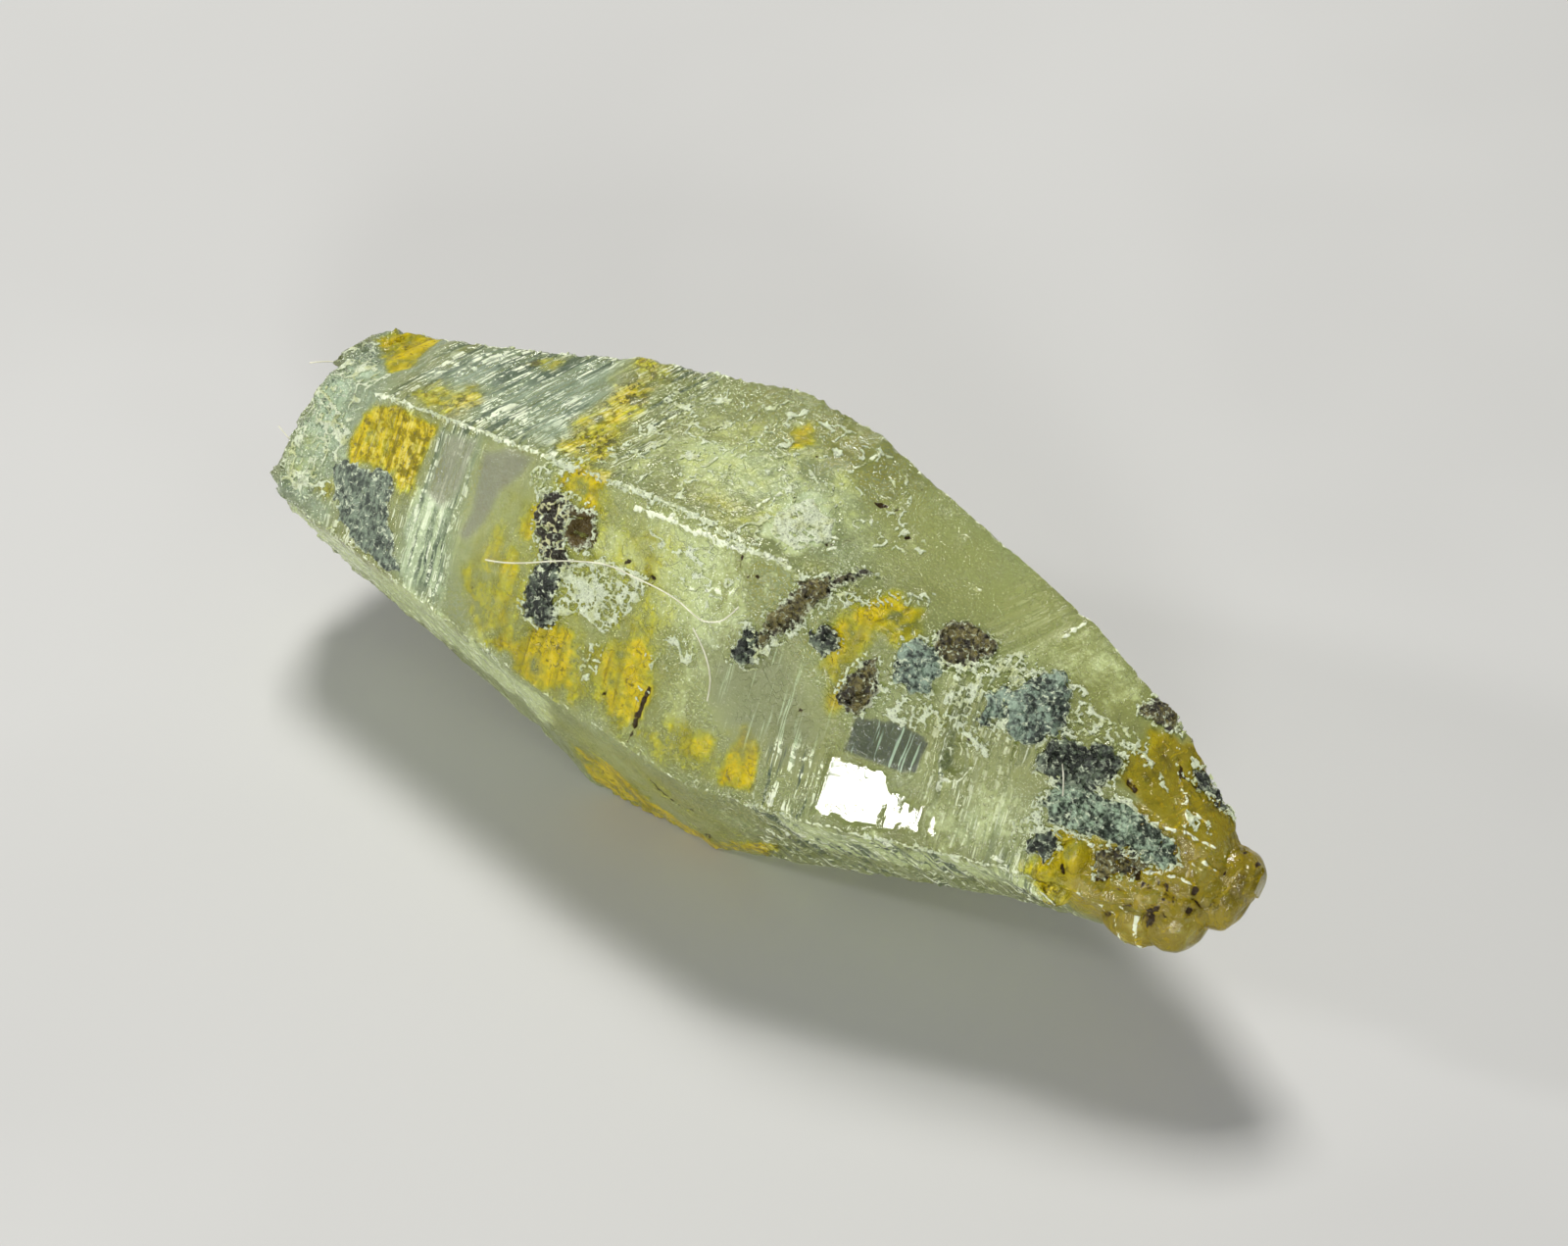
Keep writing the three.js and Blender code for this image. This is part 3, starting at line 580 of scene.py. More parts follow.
def growthSteps(x, w, points):
    # level treads and short risers, each tread as high as its end nearer the middle
    height = np.zeros(len(x))
    ribs = np.zeros(len(x))
    side = np.floor(w).astype(int)
    source = random.Random(5)
    for number, start, end, shortest, longest, share, ribbed, *top in growthZones:
        places = [start - 1]
        while places[-1] < end + 1:
            places.append(places[-1] + source.uniform(shortest, longest) * source.choice((0.5, 1, 1, 1.8)))
        places = np.array(places)
        here = side == number
        local = points[here]
        waver = 0.1 * rough(local, (2.5, 1.6, 1.6), 31 + number, 2) + 0.03 * noise(local, (0.5, 0.6, 0.6), 33)
        across = w[here]
        place = x[here] + waver - growthSlant * (across - 2) * (number == 2)
        index = np.clip(np.searchsorted(places, place), 1, len(places) - 1)
        held = (places[index - 1] + places[index]) / 2
        outer = mapToPoint(held, across)
        now = mapToPoint(place, across)
        axis = crystal["axisHeight"]
        rise = np.hypot(outer[:, 1], outer[:, 2] - axis) - np.hypot(now[:, 1], now[:, 2] - axis)
        patchy = ramp(rough(local, (1.2, 2.4, 2.4), 41 + number, 2), -0.8, 0.1)
        fade = window(x[here], start, end, 0.4) * patchy
        if top:
            fade *= 1 - ramp(across + 0.5 * waver, top[0] - 0.04, top[0] + 0.06)
        rim = np.minimum(across - number, number + 1 - across)
        height[here] += np.clip(rise, -0.14, 0.14) * share * fade * ramp(rim, 0.0, 0.06)
        ribs[here] = np.maximum(ribs[here], ribbed * fade)
    return height, ribs


surfaceWear = {  # depths and heights in mm
    "stripes": 0.022,
    "broadSwell": 0.07,
    "smallSwell": 0.04,
    "levelSwell": 0.04,  # what the swells take off on the whole, given back
    "etching": 0.035,
    "fineEtching": 0.045,
    "pits": 0.05,
    "edgeChips": 0.10,
    "edgeWidth": 0.3,
    "edgeLoss": 0.02,
    "endChips": 0.10,
    "endSteps": 0.05,
    "tipLumps": 0.09,
    "tipPimples": 0.03,
    "crevice": 0.08,
    "streaks": 0.05,
    "brownGrooves": 0.06,
    "pitRim": 0.025,
    "etchedMiddle": (-5.5, 4.6, 1.5),  # from, to, soft
    "brokenEnd": (-12.9, -11.7),
    "tipStart": (10.6, 11.8),
    "honeyStart": (10.4, 11.6),
    "tipSpecks": (12.6, 13.4),
}


def edgeWear(points, x, w):
    # long edges: how deep the small chips are, and a pale line where they are worn
    chips = np.zeros(len(x))
    worn = np.zeros(len(x))
    bite = ramp(rough(points, 0.4, 111, 3), -0.1, 0.5)
    for edge, start, end, strength in wornEdges:
        away = np.abs((w - edge + 3) % 6 - 3) * np.maximum(np.interp(x, sectionX, sectionRadii.mean(1)), 0.4)
        near = window(x, start, end, 0.25) * np.clip(1 - away / surfaceWear["edgeWidth"], 0, 1)
        chips += (surfaceWear["edgeChips"] * bite + surfaceWear["edgeLoss"]) * near * strength
        worn = np.maximum(worn, near * strength)
    return chips, worn


def brokenRelief(points, ragged, fine):
    # the broken end is etched all over in small leaning chips
    _, _, owner, lean = grains(points, 0.42, 131)
    chips = surfaceWear["endChips"] * lean + surfaceWear["endSteps"] * (owner - 0.5)
    return chips + 0.035 * fine + 0.05 * ragged


def tipRelief(points, w, ragged, fine):
    # the tip is lumpy, with crevices between the lumps on its front
    near, second, owner, _ = grains(points * np.array([0.5, 1, 1]) + 0.2 * ragged[:, None], 1.15, 141)
    crevice = 1 - ramp(second - near + 0.1 * ragged, 0.01, 0.11)
    crevice = crevice * window(w, 0.3, 1.6, 0.15) * ramp(rough(points, 0.8, 181), -0.2, 0.3)
    lumpy = surfaceWear["tipLumps"] * (owner - 0.5) - surfaceWear["crevice"] * crevice
    return lumpy + 0.06 * ragged + 0.02 * fine, crevice


def paleStreaks(points, x, w, ragged, fine, tip):
    # veins at the tip, the pale lines and the wider seam
    streaks = veins(points * np.array([0.22, 1, 1]), 0.35, 151) * tip
    streaks = streaks * ramp(rough(points, 0.9, 153), 0.2, 0.5)
    for line in paleLines:
        streaks = np.maximum(streaks, 0.9 - ramp(lineDistance(line, x, w) + 0.08 * fine, 0.0, 0.09))
    seamDistance = lineDistance(paleSeam, x, w) + 0.07 * fine + 0.03 * ragged
    return np.maximum(streaks, 0.95 - ramp(seamDistance, 0.03, 0.15))


def brownMarks(x, w, ragged, fine):
    dark = np.zeros(len(x))
    for line, half, strength in darkLines.values():
        mask = 1 - ramp(lineDistance(line, x, w) + 0.1 * ragged + 0.1 * fine, half * 0.3, half * 1.5)
        dark = np.maximum(dark, strength * mask)
    return dark


def darkSpecks(points, x):
    # a few all over, and more of them at the tip
    specks = grains(points, 0.9, 161)
    few = ramp(0.1 - specks[0], 0.0, 0.05) * (specks[2] > 0.72)
    specks = grains(points, 0.5, 171)
    atTip = ramp(0.15 - specks[0], 0.0, 0.06) * (specks[2] > 0.5) * ramp(x, *surfaceWear["tipSpecks"])
    return np.maximum(few, atTip)


def pitShape(x, w):
    # a hollow with a low rim
    (pitX, pitW), length, width = ovalPit["middle"], ovalPit["length"], ovalPit["width"]
    off = np.hypot((x - pitX) / length, (w - pitW) * sideWidth(7.5, 1) / width)
    rim = np.exp(-((off - 1.02) / 0.14) ** 2)
    return surfaceWear["pitRim"] * rim - ovalPit["depth"] * (1 - ramp(off, 0.65, 1.0))


def crystalRelief(points, x, w):
    # how far the finished surface stands off the plain one, and what lies where
    wear = surfaceWear
    ragged = rough(points, 0.5, 3)
    fine = rough(points, 0.16, 9, 2)
    wander = ragged + 1.2 * rough(points + 20, (0.9, 1.4, 1.4), 211, 3)
    broken = 1 - ramp(x, *wear["brokenEnd"])
    tip = ramp(x, *wear["tipStart"])
    middle = (1 - broken) * (1 - tip)
    smooth = strongest(olivePanes, x, w, ragged)
    lavender = strongest(paintedReflectionFacets, x, w, 0.3 * ragged)
    still = 1 - 0.8 * ramp(lavender, 0.1, 0.4)

    # growth steps and fine slanting stripes
    steps, ribs = growthSteps(x, w, points)
    steps, ribs = steps * still, ribs * still
    slanted = points.copy()
    slanted[:, 0] += points[:, 1:] @ np.array(stripeShear)
    lines = rough(slanted, (0.13, 2.2, 2.2), 51, 2)
    relief = steps + wear["stripes"] * lines * np.maximum(ribs, 0.15 * middle)

    # broad shallow facets, then etching that is finer over the middle, and pits
    swell = wear["broadSwell"] * np.abs(noise(points, (3.0, 2.0, 2.0), 61))
    swell += wear["smallSwell"] * np.abs(noise(points, (1.3, 1.0, 1.0), 63))
    relief -= (swell - wear["levelSwell"]) * middle * (1 - 0.6 * smooth)
    etched = (0.3 + 0.7 * window(x, *wear["etchedMiddle"])) * ramp(rough(points, 1.7, 83), -0.5, 0.2)
    etched = etched * (1 - smooth) * still
    relief += (wear["etching"] * ragged + wear["fineEtching"] * fine) * etched * middle
    relief += 0.02 * fine * middle * (1 - smooth)
    pits = ramp(0.22 - grains(points, 0.75, 91)[0], 0.0, 0.12) * ramp(rough(points, 1.8, 93), 0.1, 0.5)
    relief -= wear["pits"] * pits * middle

    # edges, broken end and tip, streaks that stand up, brown marks and dents that are sunk
    chips, worn = edgeWear(points, x, w)
    lumpy, crevice = tipRelief(points, w, ragged, fine)
    relief += broken * brokenRelief(points, ragged, fine) + tip * lumpy - chips
    streaks = paleStreaks(points, x, w, ragged, fine, tip)
    pimples = tip * np.abs(noise(points, (0.5, 0.22, 0.22), 157))
    relief += wear["streaks"] * streaks + wear["tipPimples"] * pimples
    marks = brownMarks(x, w, ragged, fine)
    relief += pitShape(x, w) - wear["brownGrooves"] * marks
    for outline, depth in dents.values():
        relief -= depth * ramp(outlineDepth(outline, x, w), -0.02, 0.1)

    atTip = ramp(x + 0.4 * ragged, tipStain["start"], tipStain["full"])
    amber = np.maximum(strongest(stains, x, w, wander), tipStain["strength"] * atTip)
    # pane: where the painted dark reflection and the painted shade go
    darkPlane = ramp(outlineDepth(darkPane["outline"], x, w) + 0.04 * ragged, -0.02, 0.04)
    masks = {
        "amber": amber,
        "cool": strongest(coolBands, x, w, ragged),
        "lavender": lavender,
        "pane": np.maximum(darkPlane, strongest(shadedPanes, x, w, ragged)),
        "streaks": streaks,
        "smooth": smooth,
        "ribs": ribs,
        "dark": np.maximum.reduce([marks, darkSpecks(points, x), 0.72 * crevice * tip]),
        "worn": worn,
        "milky": strongest(milkyZones, x, w, wander),
        "honey": ramp(x + 0.5 * ragged, *wear["honeyStart"]),
        "etched": np.maximum.reduce([0.6 * etched * middle, broken * (1 - 0.7 * np.clip(amber, 0, 1)),
                                     0.9 * streaks, strongest(etchedZones, x, w, ragged)]),
    }
    return relief, masks


def breakEnd(points):
    # the broken end: each place is cut back to the face whose middle is nearest
    ragged = 0.25 * rough(points, 0.8, 191, 2)
    level = np.full(len(points), -99.0)
    best = np.full(len(points), 99.0)
    for y, z, stand, leanY, leanZ in brokenFaces:
        away = np.hypot(points[:, 1] - y + ragged, points[:, 2] - z - ragged)
        plane = stand + leanY * (points[:, 1] - y) + leanZ * (points[:, 2] - z)
        level = np.where(away < best, plane, level)
        best = np.minimum(best, away)
    over = np.maximum(level - points[:, 0], 0)
    cut = points.copy()
    cut[:, 0] += 0.92 * over
    return cut


def finishedPoints(points, normals, relief):
    return breakEnd(swellTip(points) + normals * relief[:, None])


def flattenPane(points, pane, x, w):
    # a growth face that is truly flat, so that it mirrors
    fringe = 0.08 + 0.22 * ramp(x, 6.0, 7.8) * (pane is mirrorPane)
    nibbled = fringe * (1 + noise(points, (0.09, 1.2, 1.2), 201)) + 0.08 * rough(points, 0.4, 203, 2) - 0.05
    mask = ramp(outlineDepth(pane["outline"], x, w) - nibbled, -pane["soft"], pane["soft"])
    bites = ramp(noise(points, (0.08, 0.9, 0.9), 205), 0.1, 0.35) * ramp(x, 6.0, 6.8)
    mask *= 1 - bites * (pane is mirrorPane)
    centre, normal = spotOn(pane["middle"])
    normal = normal + pane["lean"] * np.array([0, 0, 1])
    normal /= np.linalg.norm(normal)
    off = ((points - centre + pane["sunk"] * normal) * normal).sum(1)
    return points - normal * (off * mask)[:, None], mask


# ---- the crystal's plain body, made by extruding and subdividing ----
def setRing(edit, places):
    # the selected ring of six corners moves to its new places, each to the one with its own number
    for vertex in (v for v in edit.verts if v.select):
        vertex.co = places[vertex[edit.verts.layers.int["edge"]]]


def plainBody():
    bpy.ops.object.select_all(action="DESELECT")
    bpy.ops.mesh.primitive_circle_add(vertices=6, radius=mm, fill_type="NOTHING")
    body = bpy.context.object
    bpy.ops.object.mode_set(mode="EDIT")
    bpy.ops.mesh.select_mode(type="VERT")
    bpy.ops.mesh.select_all(action="SELECT")
    edit = bmesh.from_edit_mesh(body.data)
    number = edit.verts.layers.int.new("edge")
    edit.verts.ensure_lookup_table()
    for i, vertex in enumerate(edit.verts):
        vertex[number] = i
    rings = [[Vector((x, *edgeYz(np.array([x]), k)[0])) * mm for k in range(6)] for x in sectionX]
    setRing(edit, rings[0])
    for ring in rings[1:]:
        bpy.ops.mesh.extrude_edges_move(TRANSFORM_OT_translate={"value": (mm, 0, 0)})
        setRing(bmesh.from_edit_mesh(body.data), ring)
    bmesh.update_edit_mesh(body.data)

    # rings closer together
    bpy.ops.mesh.select_mode(type="EDGE")
    for before, after in zip(range(len(rings)), range(1, len(rings))):
        gap = max((a - b).length for a, b in zip(rings[before], rings[after])) / mm
        cuts = max(1, round(gap / crystal["ringStep"])) - 1
        if not cuts:
            continue
        bpy.ops.mesh.select_all(action="DESELECT")
        edit = bmesh.from_edit_mesh(body.data)
        low, high = sectionX[before] * mm, sectionX[after] * mm
        for edge in edit.edges:
            ends = sorted(v.co.x for v in edge.verts)
            edge.select = bool(abs(ends[0] - low) < 1e-8 and abs(ends[1] - high) < 1e-8)
        bmesh.update_edit_mesh(body.data)
        bpy.ops.mesh.subdivide(number_cuts=cuts)

    # and columns across each side
    for side, columns in enumerate(crystal["columns"]):
        bpy.ops.mesh.select_all(action="DESELECT")
        edit = bmesh.from_edit_mesh(body.data)
        chosen = [e for e in edit.edges if abs(e.verts[0].co.x - e.verts[1].co.x) < 1e-8]
        middles = np.array([(e.verts[0].co + e.verts[1].co) / 2 for e in chosen]) / mm
        at, where = pointToMap(middles)
        widths = np.linalg.norm(edgeYz(at, side + 1) - edgeYz(at, side), axis=1)
        for edge, w, width in zip(chosen, where, widths):
            edge.select = bool(int(w) == side and edge.calc_length() / mm > 0.9 * width)
        bmesh.update_edit_mesh(body.data)
        bpy.ops.mesh.subdivide(number_cuts=columns - 1)

    # the two ends run to a point
    for end in (rings[0], rings[-1]):
        bpy.ops.mesh.select_mode(type="VERT")
        bpy.ops.mesh.select_all(action="DESELECT")
        edit = bmesh.from_edit_mesh(body.data)
        for vertex in edit.verts:
            vertex.select = abs(vertex.co.x - end[0].x) < 1e-8
        edit.select_flush(True)
        bmesh.update_edit_mesh(body.data)
        bpy.ops.mesh.merge(type="CENTER")
    bpy.ops.mesh.select_all(action="SELECT")
    bpy.ops.mesh.normals_make_consistent(inside=False)
    bpy.ops.object.mode_set(mode="OBJECT")
    body.data.attributes.remove(body.data.attributes["edge"])
    body.name = "crystalBody"
    body.data.name = "crystalBody"
    return body


def meshPoints(mesh):
    flat = np.zeros(len(mesh.vertices) * 3)
    mesh.vertices.foreach_get("co", flat)
    return flat.reshape(-1, 3) / mm


def meshNormals(mesh):
    flat = np.zeros(len(mesh.vertices) * 3)
    mesh.vertex_normals.foreach_get("vector", flat)
    return flat.reshape(-1, 3)


def movePoints(mesh, points):
    mesh.vertices.foreach_set("co", (points * mm).ravel())
    mesh.update()


def paint(mesh, name, values):
    layer = mesh.attributes.new(name, "FLOAT", "POINT")
    layer.data.foreach_set("value", np.clip(values, 0, 1).astype(np.float32))


def sculptCrystal(body):
    mesh = body.data
    points = meshPoints(mesh)
    x, w = pointToMap(points)
    relief, masks = crystalRelief(points, x, w)
    resting = (np.floor(w) == 5) & (np.abs(points[:, 2]) < 1e-4)
    relief = np.where(resting, 0, relief)
    placed = finishedPoints(points, meshNormals(mesh), relief)
    footX, footW = splinter["foot"]
    foot, _ = spotOn(splinter["foot"])
    along = (x - footX) / np.where(x < footX, splinter["back"], splinter["front"])
    over = (w - footW) * sideWidth(footX, 0) / splinter["half"]
    pull = np.clip(1 - np.hypot(along, over), 0, 1) ** 1.2
    placed += pull[:, None] * (np.array(splinter["tip"]) - foot)
    placed, mirror = flattenPane(placed, mirrorPane, x, w)
    placed, pane = flattenPane(placed, darkPane, x, w)
    masks["gloss"] = np.maximum(mirror, 0.85 * pane)
    placed[:, 2] = np.maximum(placed[:, 2], 0)
    movePoints(mesh, placed)
    for name, values in masks.items():
        paint(mesh, name, values)


crystalPiece = plainBody()
print("plain body:", len(crystalPiece.data.vertices), "corners")
sculptCrystal(crystalPiece)
bpy.ops.object.select_all(action="DESELECT")
crystalPiece.select_set(True)
bpy.context.view_layer.objects.active = crystalPiece
bpy.ops.object.shade_smooth_by_angle(angle=math.radians(crystal["smoothAngle"]))
print("crystal sculpted")


# ---- shader maths ----
class Wire:
    # a node socket that takes part in sums; node() adds any other node
    def __init__(self, tree, socket=None):
        self.tree = tree
        self.socket = socket

    def node(self, kind, settings=None, inputs=None, output=0):
        made = self.tree.nodes.new(kind)
        for name, value in (settings or {}).items():
            setattr(made, name, value)
        for name, value in (inputs or {}).items():
            if isinstance(value, Wire):
                self.tree.links.new(value.socket, made.inputs[name])
            else:
                made.inputs[name].default_value = value
        return Wire(self.tree, made.outputs[output] if made.outputs else None)

    def maths(self, operation, *values):
        return self.node("ShaderNodeMath", {"operation": operation}, dict(enumerate(values)))

    def vector(self, operation, first, second, output=0):
        return self.node("ShaderNodeVectorMath", {"operation": operation}, {0: first, 1: second}, output)

    def principled(self, inputs):
        return self.node("ShaderNodeBsdfPrincipled", None, inputs)

    def bump(self, distance, height):
        return self.node("ShaderNodeBump", None, {
            "Strength": 1.0, "Distance": distance * mm, "Height": height})

    def __add__(self, other):
        return self.maths("ADD", self, other)

    def __sub__(self, other):
        return self.maths("SUBTRACT", self, other)

    def __mul__(self, other):
        return self.maths("MULTIPLY", self, other)

    def __rsub__(self, other):
        return self.maths("SUBTRACT", other, self)

    __radd__ = __add__
    __rmul__ = __mul__

    def between(self, low, high):
        return self.node("ShaderNodeMapRange", {"interpolation_type": "SMOOTHSTEP"},
                         {"Value": self, "From Min": low, "From Max": high})

    def blend(self, colour, other):
        # colour where this is 0, other where it is 1
        return self.node("ShaderNodeMix", {"data_type": "RGBA", "clamp_factor": True},
                         {0: self, 6: colour, 7: other}, 2)

    def attribute(self, name):
        return self.node("ShaderNodeAttribute", {"attribute_name": name}, None, "Fac")

    def noise(self, place, size, detail, roughness):
        # from 0 to 1, with features of about this size in mm
        raw = self.node("ShaderNodeTexNoise", None, {
            "Vector": place, "Scale": 1 / (size * mm), "Detail": detail, "Roughness": roughness})
        return (raw - 0.5) * 2.4 + 0.5

    def pattern(self, size, detail=2.0, roughness=0.5):
        return self.noise(self.node("ShaderNodeTexCoord", None, None, "Object"), size, detail, roughness)

    def stripes(self, size, length, detail):
        # noise drawn out across the crystal into slanting stripes
        place = self.node("ShaderNodeTexCoord", None, None, "Object")
        along = self.vector("DOT_PRODUCT", place, (1, *stripeShear), "Value")
        drawn = self.vector("MULTIPLY", place, (0, size / length, size / length))
        across = self.node("ShaderNodeCombineXYZ", None, {"X": along})
        return self.noise(self.vector("ADD", drawn, across), size, detail, 0.6)

    def veins(self, size, width):
        # thin winding lines: 1 on the line
        away = self.maths("ABSOLUTE", self.pattern(size) - 0.5)
        return 1 - away.between(0.0, width)

    def finished(self, material, inputs):
        # a plain surface with these values, and the material that it belongs to
        self.node("ShaderNodeOutputMaterial", None, {"Surface": self.principled(inputs)})
        return material


def newMaterial(name):
    material = bpy.data.materials.new(name)
    material.use_nodes = True
    material.node_tree.nodes.clear()
    return material, Wire(material.node_tree)


sapphireFinish = {
    "clear": (0.80, 0.88, 0.38, 1),
    "olive": (0.65, 0.68, 0.23, 1),
    "milky": (0.86, 0.97, 0.48, 1),
    "glass": (0.94, 0.98, 0.87, 1),
    "stainGlass": (0.95, 0.88, 0.14, 1),
    "stainGlassDeep": (0.95, 0.79, 0.002, 1),
    "amberPale": (0.62, 0.63, 0.04, 1),
    "amberDeep": (0.71, 0.54, 0.0005, 1),
    "amberGlint": (0.90, 0.78, 0.12, 1),
    "amberOlive": (0.30, 0.27, 0.004, 1),
    "amberDark": (0.13, 0.11, 0.006, 1),
    "honey": (0.52, 0.38, 0.008, 1),
    "honeyPale": (0.72, 0.57, 0.07, 1),
    "honeyDark": (0.16, 0.10, 0.004, 1),
    "cool": (0.64, 0.83, 0.61, 1),
    # painted shade in the furrows
    "paintedFurrowShade": (0.055, 0.085, 0.05, 1),
    # colour of the painted reflection on the smooth facets
    "lavender": (0.40, 0.385, 0.315, 1),
    # painted dark reflection and painted shade on the panes
    "paintedPaneShade": (0.125, 0.14, 0.11, 1),
    # white of the frosted lines and of the painted glints
    "frost": (0.95, 1.0, 0.76, 1),
    "dark": (0.040, 0.024, 0.006, 1),
    "painted": ("amber", "cool", "lavender", "pane", "dark", "gloss", "smooth", "ribs", "worn", "etched",
                "milky", "honey", "streaks"),
    # size in mm, detail, roughness
    "patterns": {"cloud": (2.2, 3), "mottle": (0.7, 4, 0.6), "grain": (0.17, 3, 0.6), "grit": (0.06, 2, 0.6),
                 "fleck": (0.32, 3, 0.7)},
    # width and length in mm, detail
    "stripes": {"broad": (0.5, 4.0, 2), "lines": (0.18, 3.0, 3), "hair": (0.07, 1.6, 2)},
    "bump": 0.09,
    "glassiness": 0.45,
    "ior": 1.77,
    "cloudyIor": 1.6,
    "absorption": (0.80, 0.90, 0.28, 1),
    "density": 95,
}


def sapphireLayers(start):
    # what is painted on the crystal and the patterns that lie over it, by name
    finish = sapphireFinish
    layers = {name: start.attribute(name) for name in finish["painted"]}
    layers.update({name: start.pattern(*numbers) for name, numbers in finish["patterns"].items()})
    layers.update({name: start.stripes(*numbers) for name, numbers in finish["stripes"].items()})
    layers["squiggles"] = start.veins(0.28, 0.07) * layers["mottle"].between(0.3, 0.6)
    return SimpleNamespace(**layers)


def bodyColour(on):
    # clear and olive clouds, milky zones, cool bands, and painted shade in the furrows and between etched
    # grains
    finish = sapphireFinish
    body = on.cloud.between(0.2, 0.8).blend(finish["clear"], finish["olive"])
    body = (on.smooth * 0.8).blend(body, finish["olive"])
    on.milkyMask = (on.milky + 0.6 * (on.mottle - 0.5) + 0.35 * (on.grain - 0.5)).between(0.2, 0.9)
    body = on.milkyMask.blend(body, finish["milky"])
    body = (on.cool * 0.85).blend(body, finish["cool"])
    furrows = (0.8 * on.lines + 0.2 * on.broad).between(0.54, 0.38)
    on.shadow = (on.ribs * furrows + on.etched * on.grain.between(0.42, 0.15)) * 0.9
    return on.shadow.blend(body, finish["paintedFurrowShade"])


def stainColour(start, on):
    # iron stains: a pale haze, then deep yellow, with darker flaws and painted highlights; honey at the tip
    finish = sapphireFinish
    stain = on.amber * (0.2 + 1.0 * on.mottle + 0.4 * on.broad + 0.2 * on.grain)
    on.amberMask = stain.between(0.05, 0.7)
    on.depth = stain.between(0.45, 1.1)
    shade = on.depth.blend(finish["amberPale"], finish["amberDeep"])
    shade = (on.broad.between(0.6, 0.25) * 0.6).blend(shade, finish["amberOlive"])
    shade = (on.mottle.between(0.48, 0.1) * 0.45).blend(shade, finish["amberDark"])
    shade = (on.fleck.between(0.56, 0.3) * (0.24 + 0.75 * on.ribs)).blend(shade, finish["amberDark"])
    shade = (on.fleck.between(0.58, 0.85) * (0.2 + 0.65 * on.ribs)).blend(shade, finish["amberGlint"])
    glint = (0.5 * on.lines + 0.5 * on.grain).between(0.6, 0.76) * (0.1 + 0.9 * on.ribs)
    shade = glint.blend(shade, finish["amberGlint"])
    flaws = start.maths("MAXIMUM", on.grain.between(0.38, 0.14), 0.8 * on.lines.between(0.32, 0.15))
    on.flaws = flaws * (0.2 + 0.8 * on.depth) * (1 - 0.6 * on.honey)
    shade = (on.flaws * 0.8).blend(shade, finish["amberDark"])
    honeyShade = on.mottle.between(0.5, 1.0).blend(finish["honey"], finish["honeyDark"])
    honeyShade = on.mottle.between(0.35, 0.05).blend(honeyShade, finish["honeyPale"])
    return on.honey.blend(shade, honeyShade)


def frostAndPaintedGlints(start, on):
    # painted glints on ribs and etched lines, pale worn edges and pale streaks, and painted sparkle
    bars = on.lines.between(0.66, 0.8) * on.cool * on.fleck.between(0.36, 0.5)
    bunches = start.maths("MAXIMUM", bars, on.hair.between(0.54, 0.7) * on.fleck.between(0.44, 0.6))
    # glint: painted highlights on the ribs and along the etched squiggles
    glint = on.ribs * bunches + on.etched * on.squiggles
    wornMask = (on.worn + 0.6 * (on.grain - 0.5) + 0.3 * (on.grit - 0.5)).between(0.72, 0.88)
    streakMask = (on.streaks + 0.9 * (on.grain - 0.5)).between(0.5, 0.8)
    frost = start.maths("MAXIMUM", start.maths("MAXIMUM", glint, wornMask), streakMask) * (1 - on.gloss)
    # sparkle: painted pinpoint highlights
    sparkle = on.grit.between(0.8, 0.88) * (0.1 + 0.8 * on.etched + on.milky * 0.6)
    sparkle = sparkle * (1 - on.honey) * (1 - on.gloss) * (1 - 0.8 * on.amberMask * on.depth)
    return start.maths("MAXIMUM", frost, sparkle) * (1 - 0.75 * on.amberMask * (1 - streakMask))


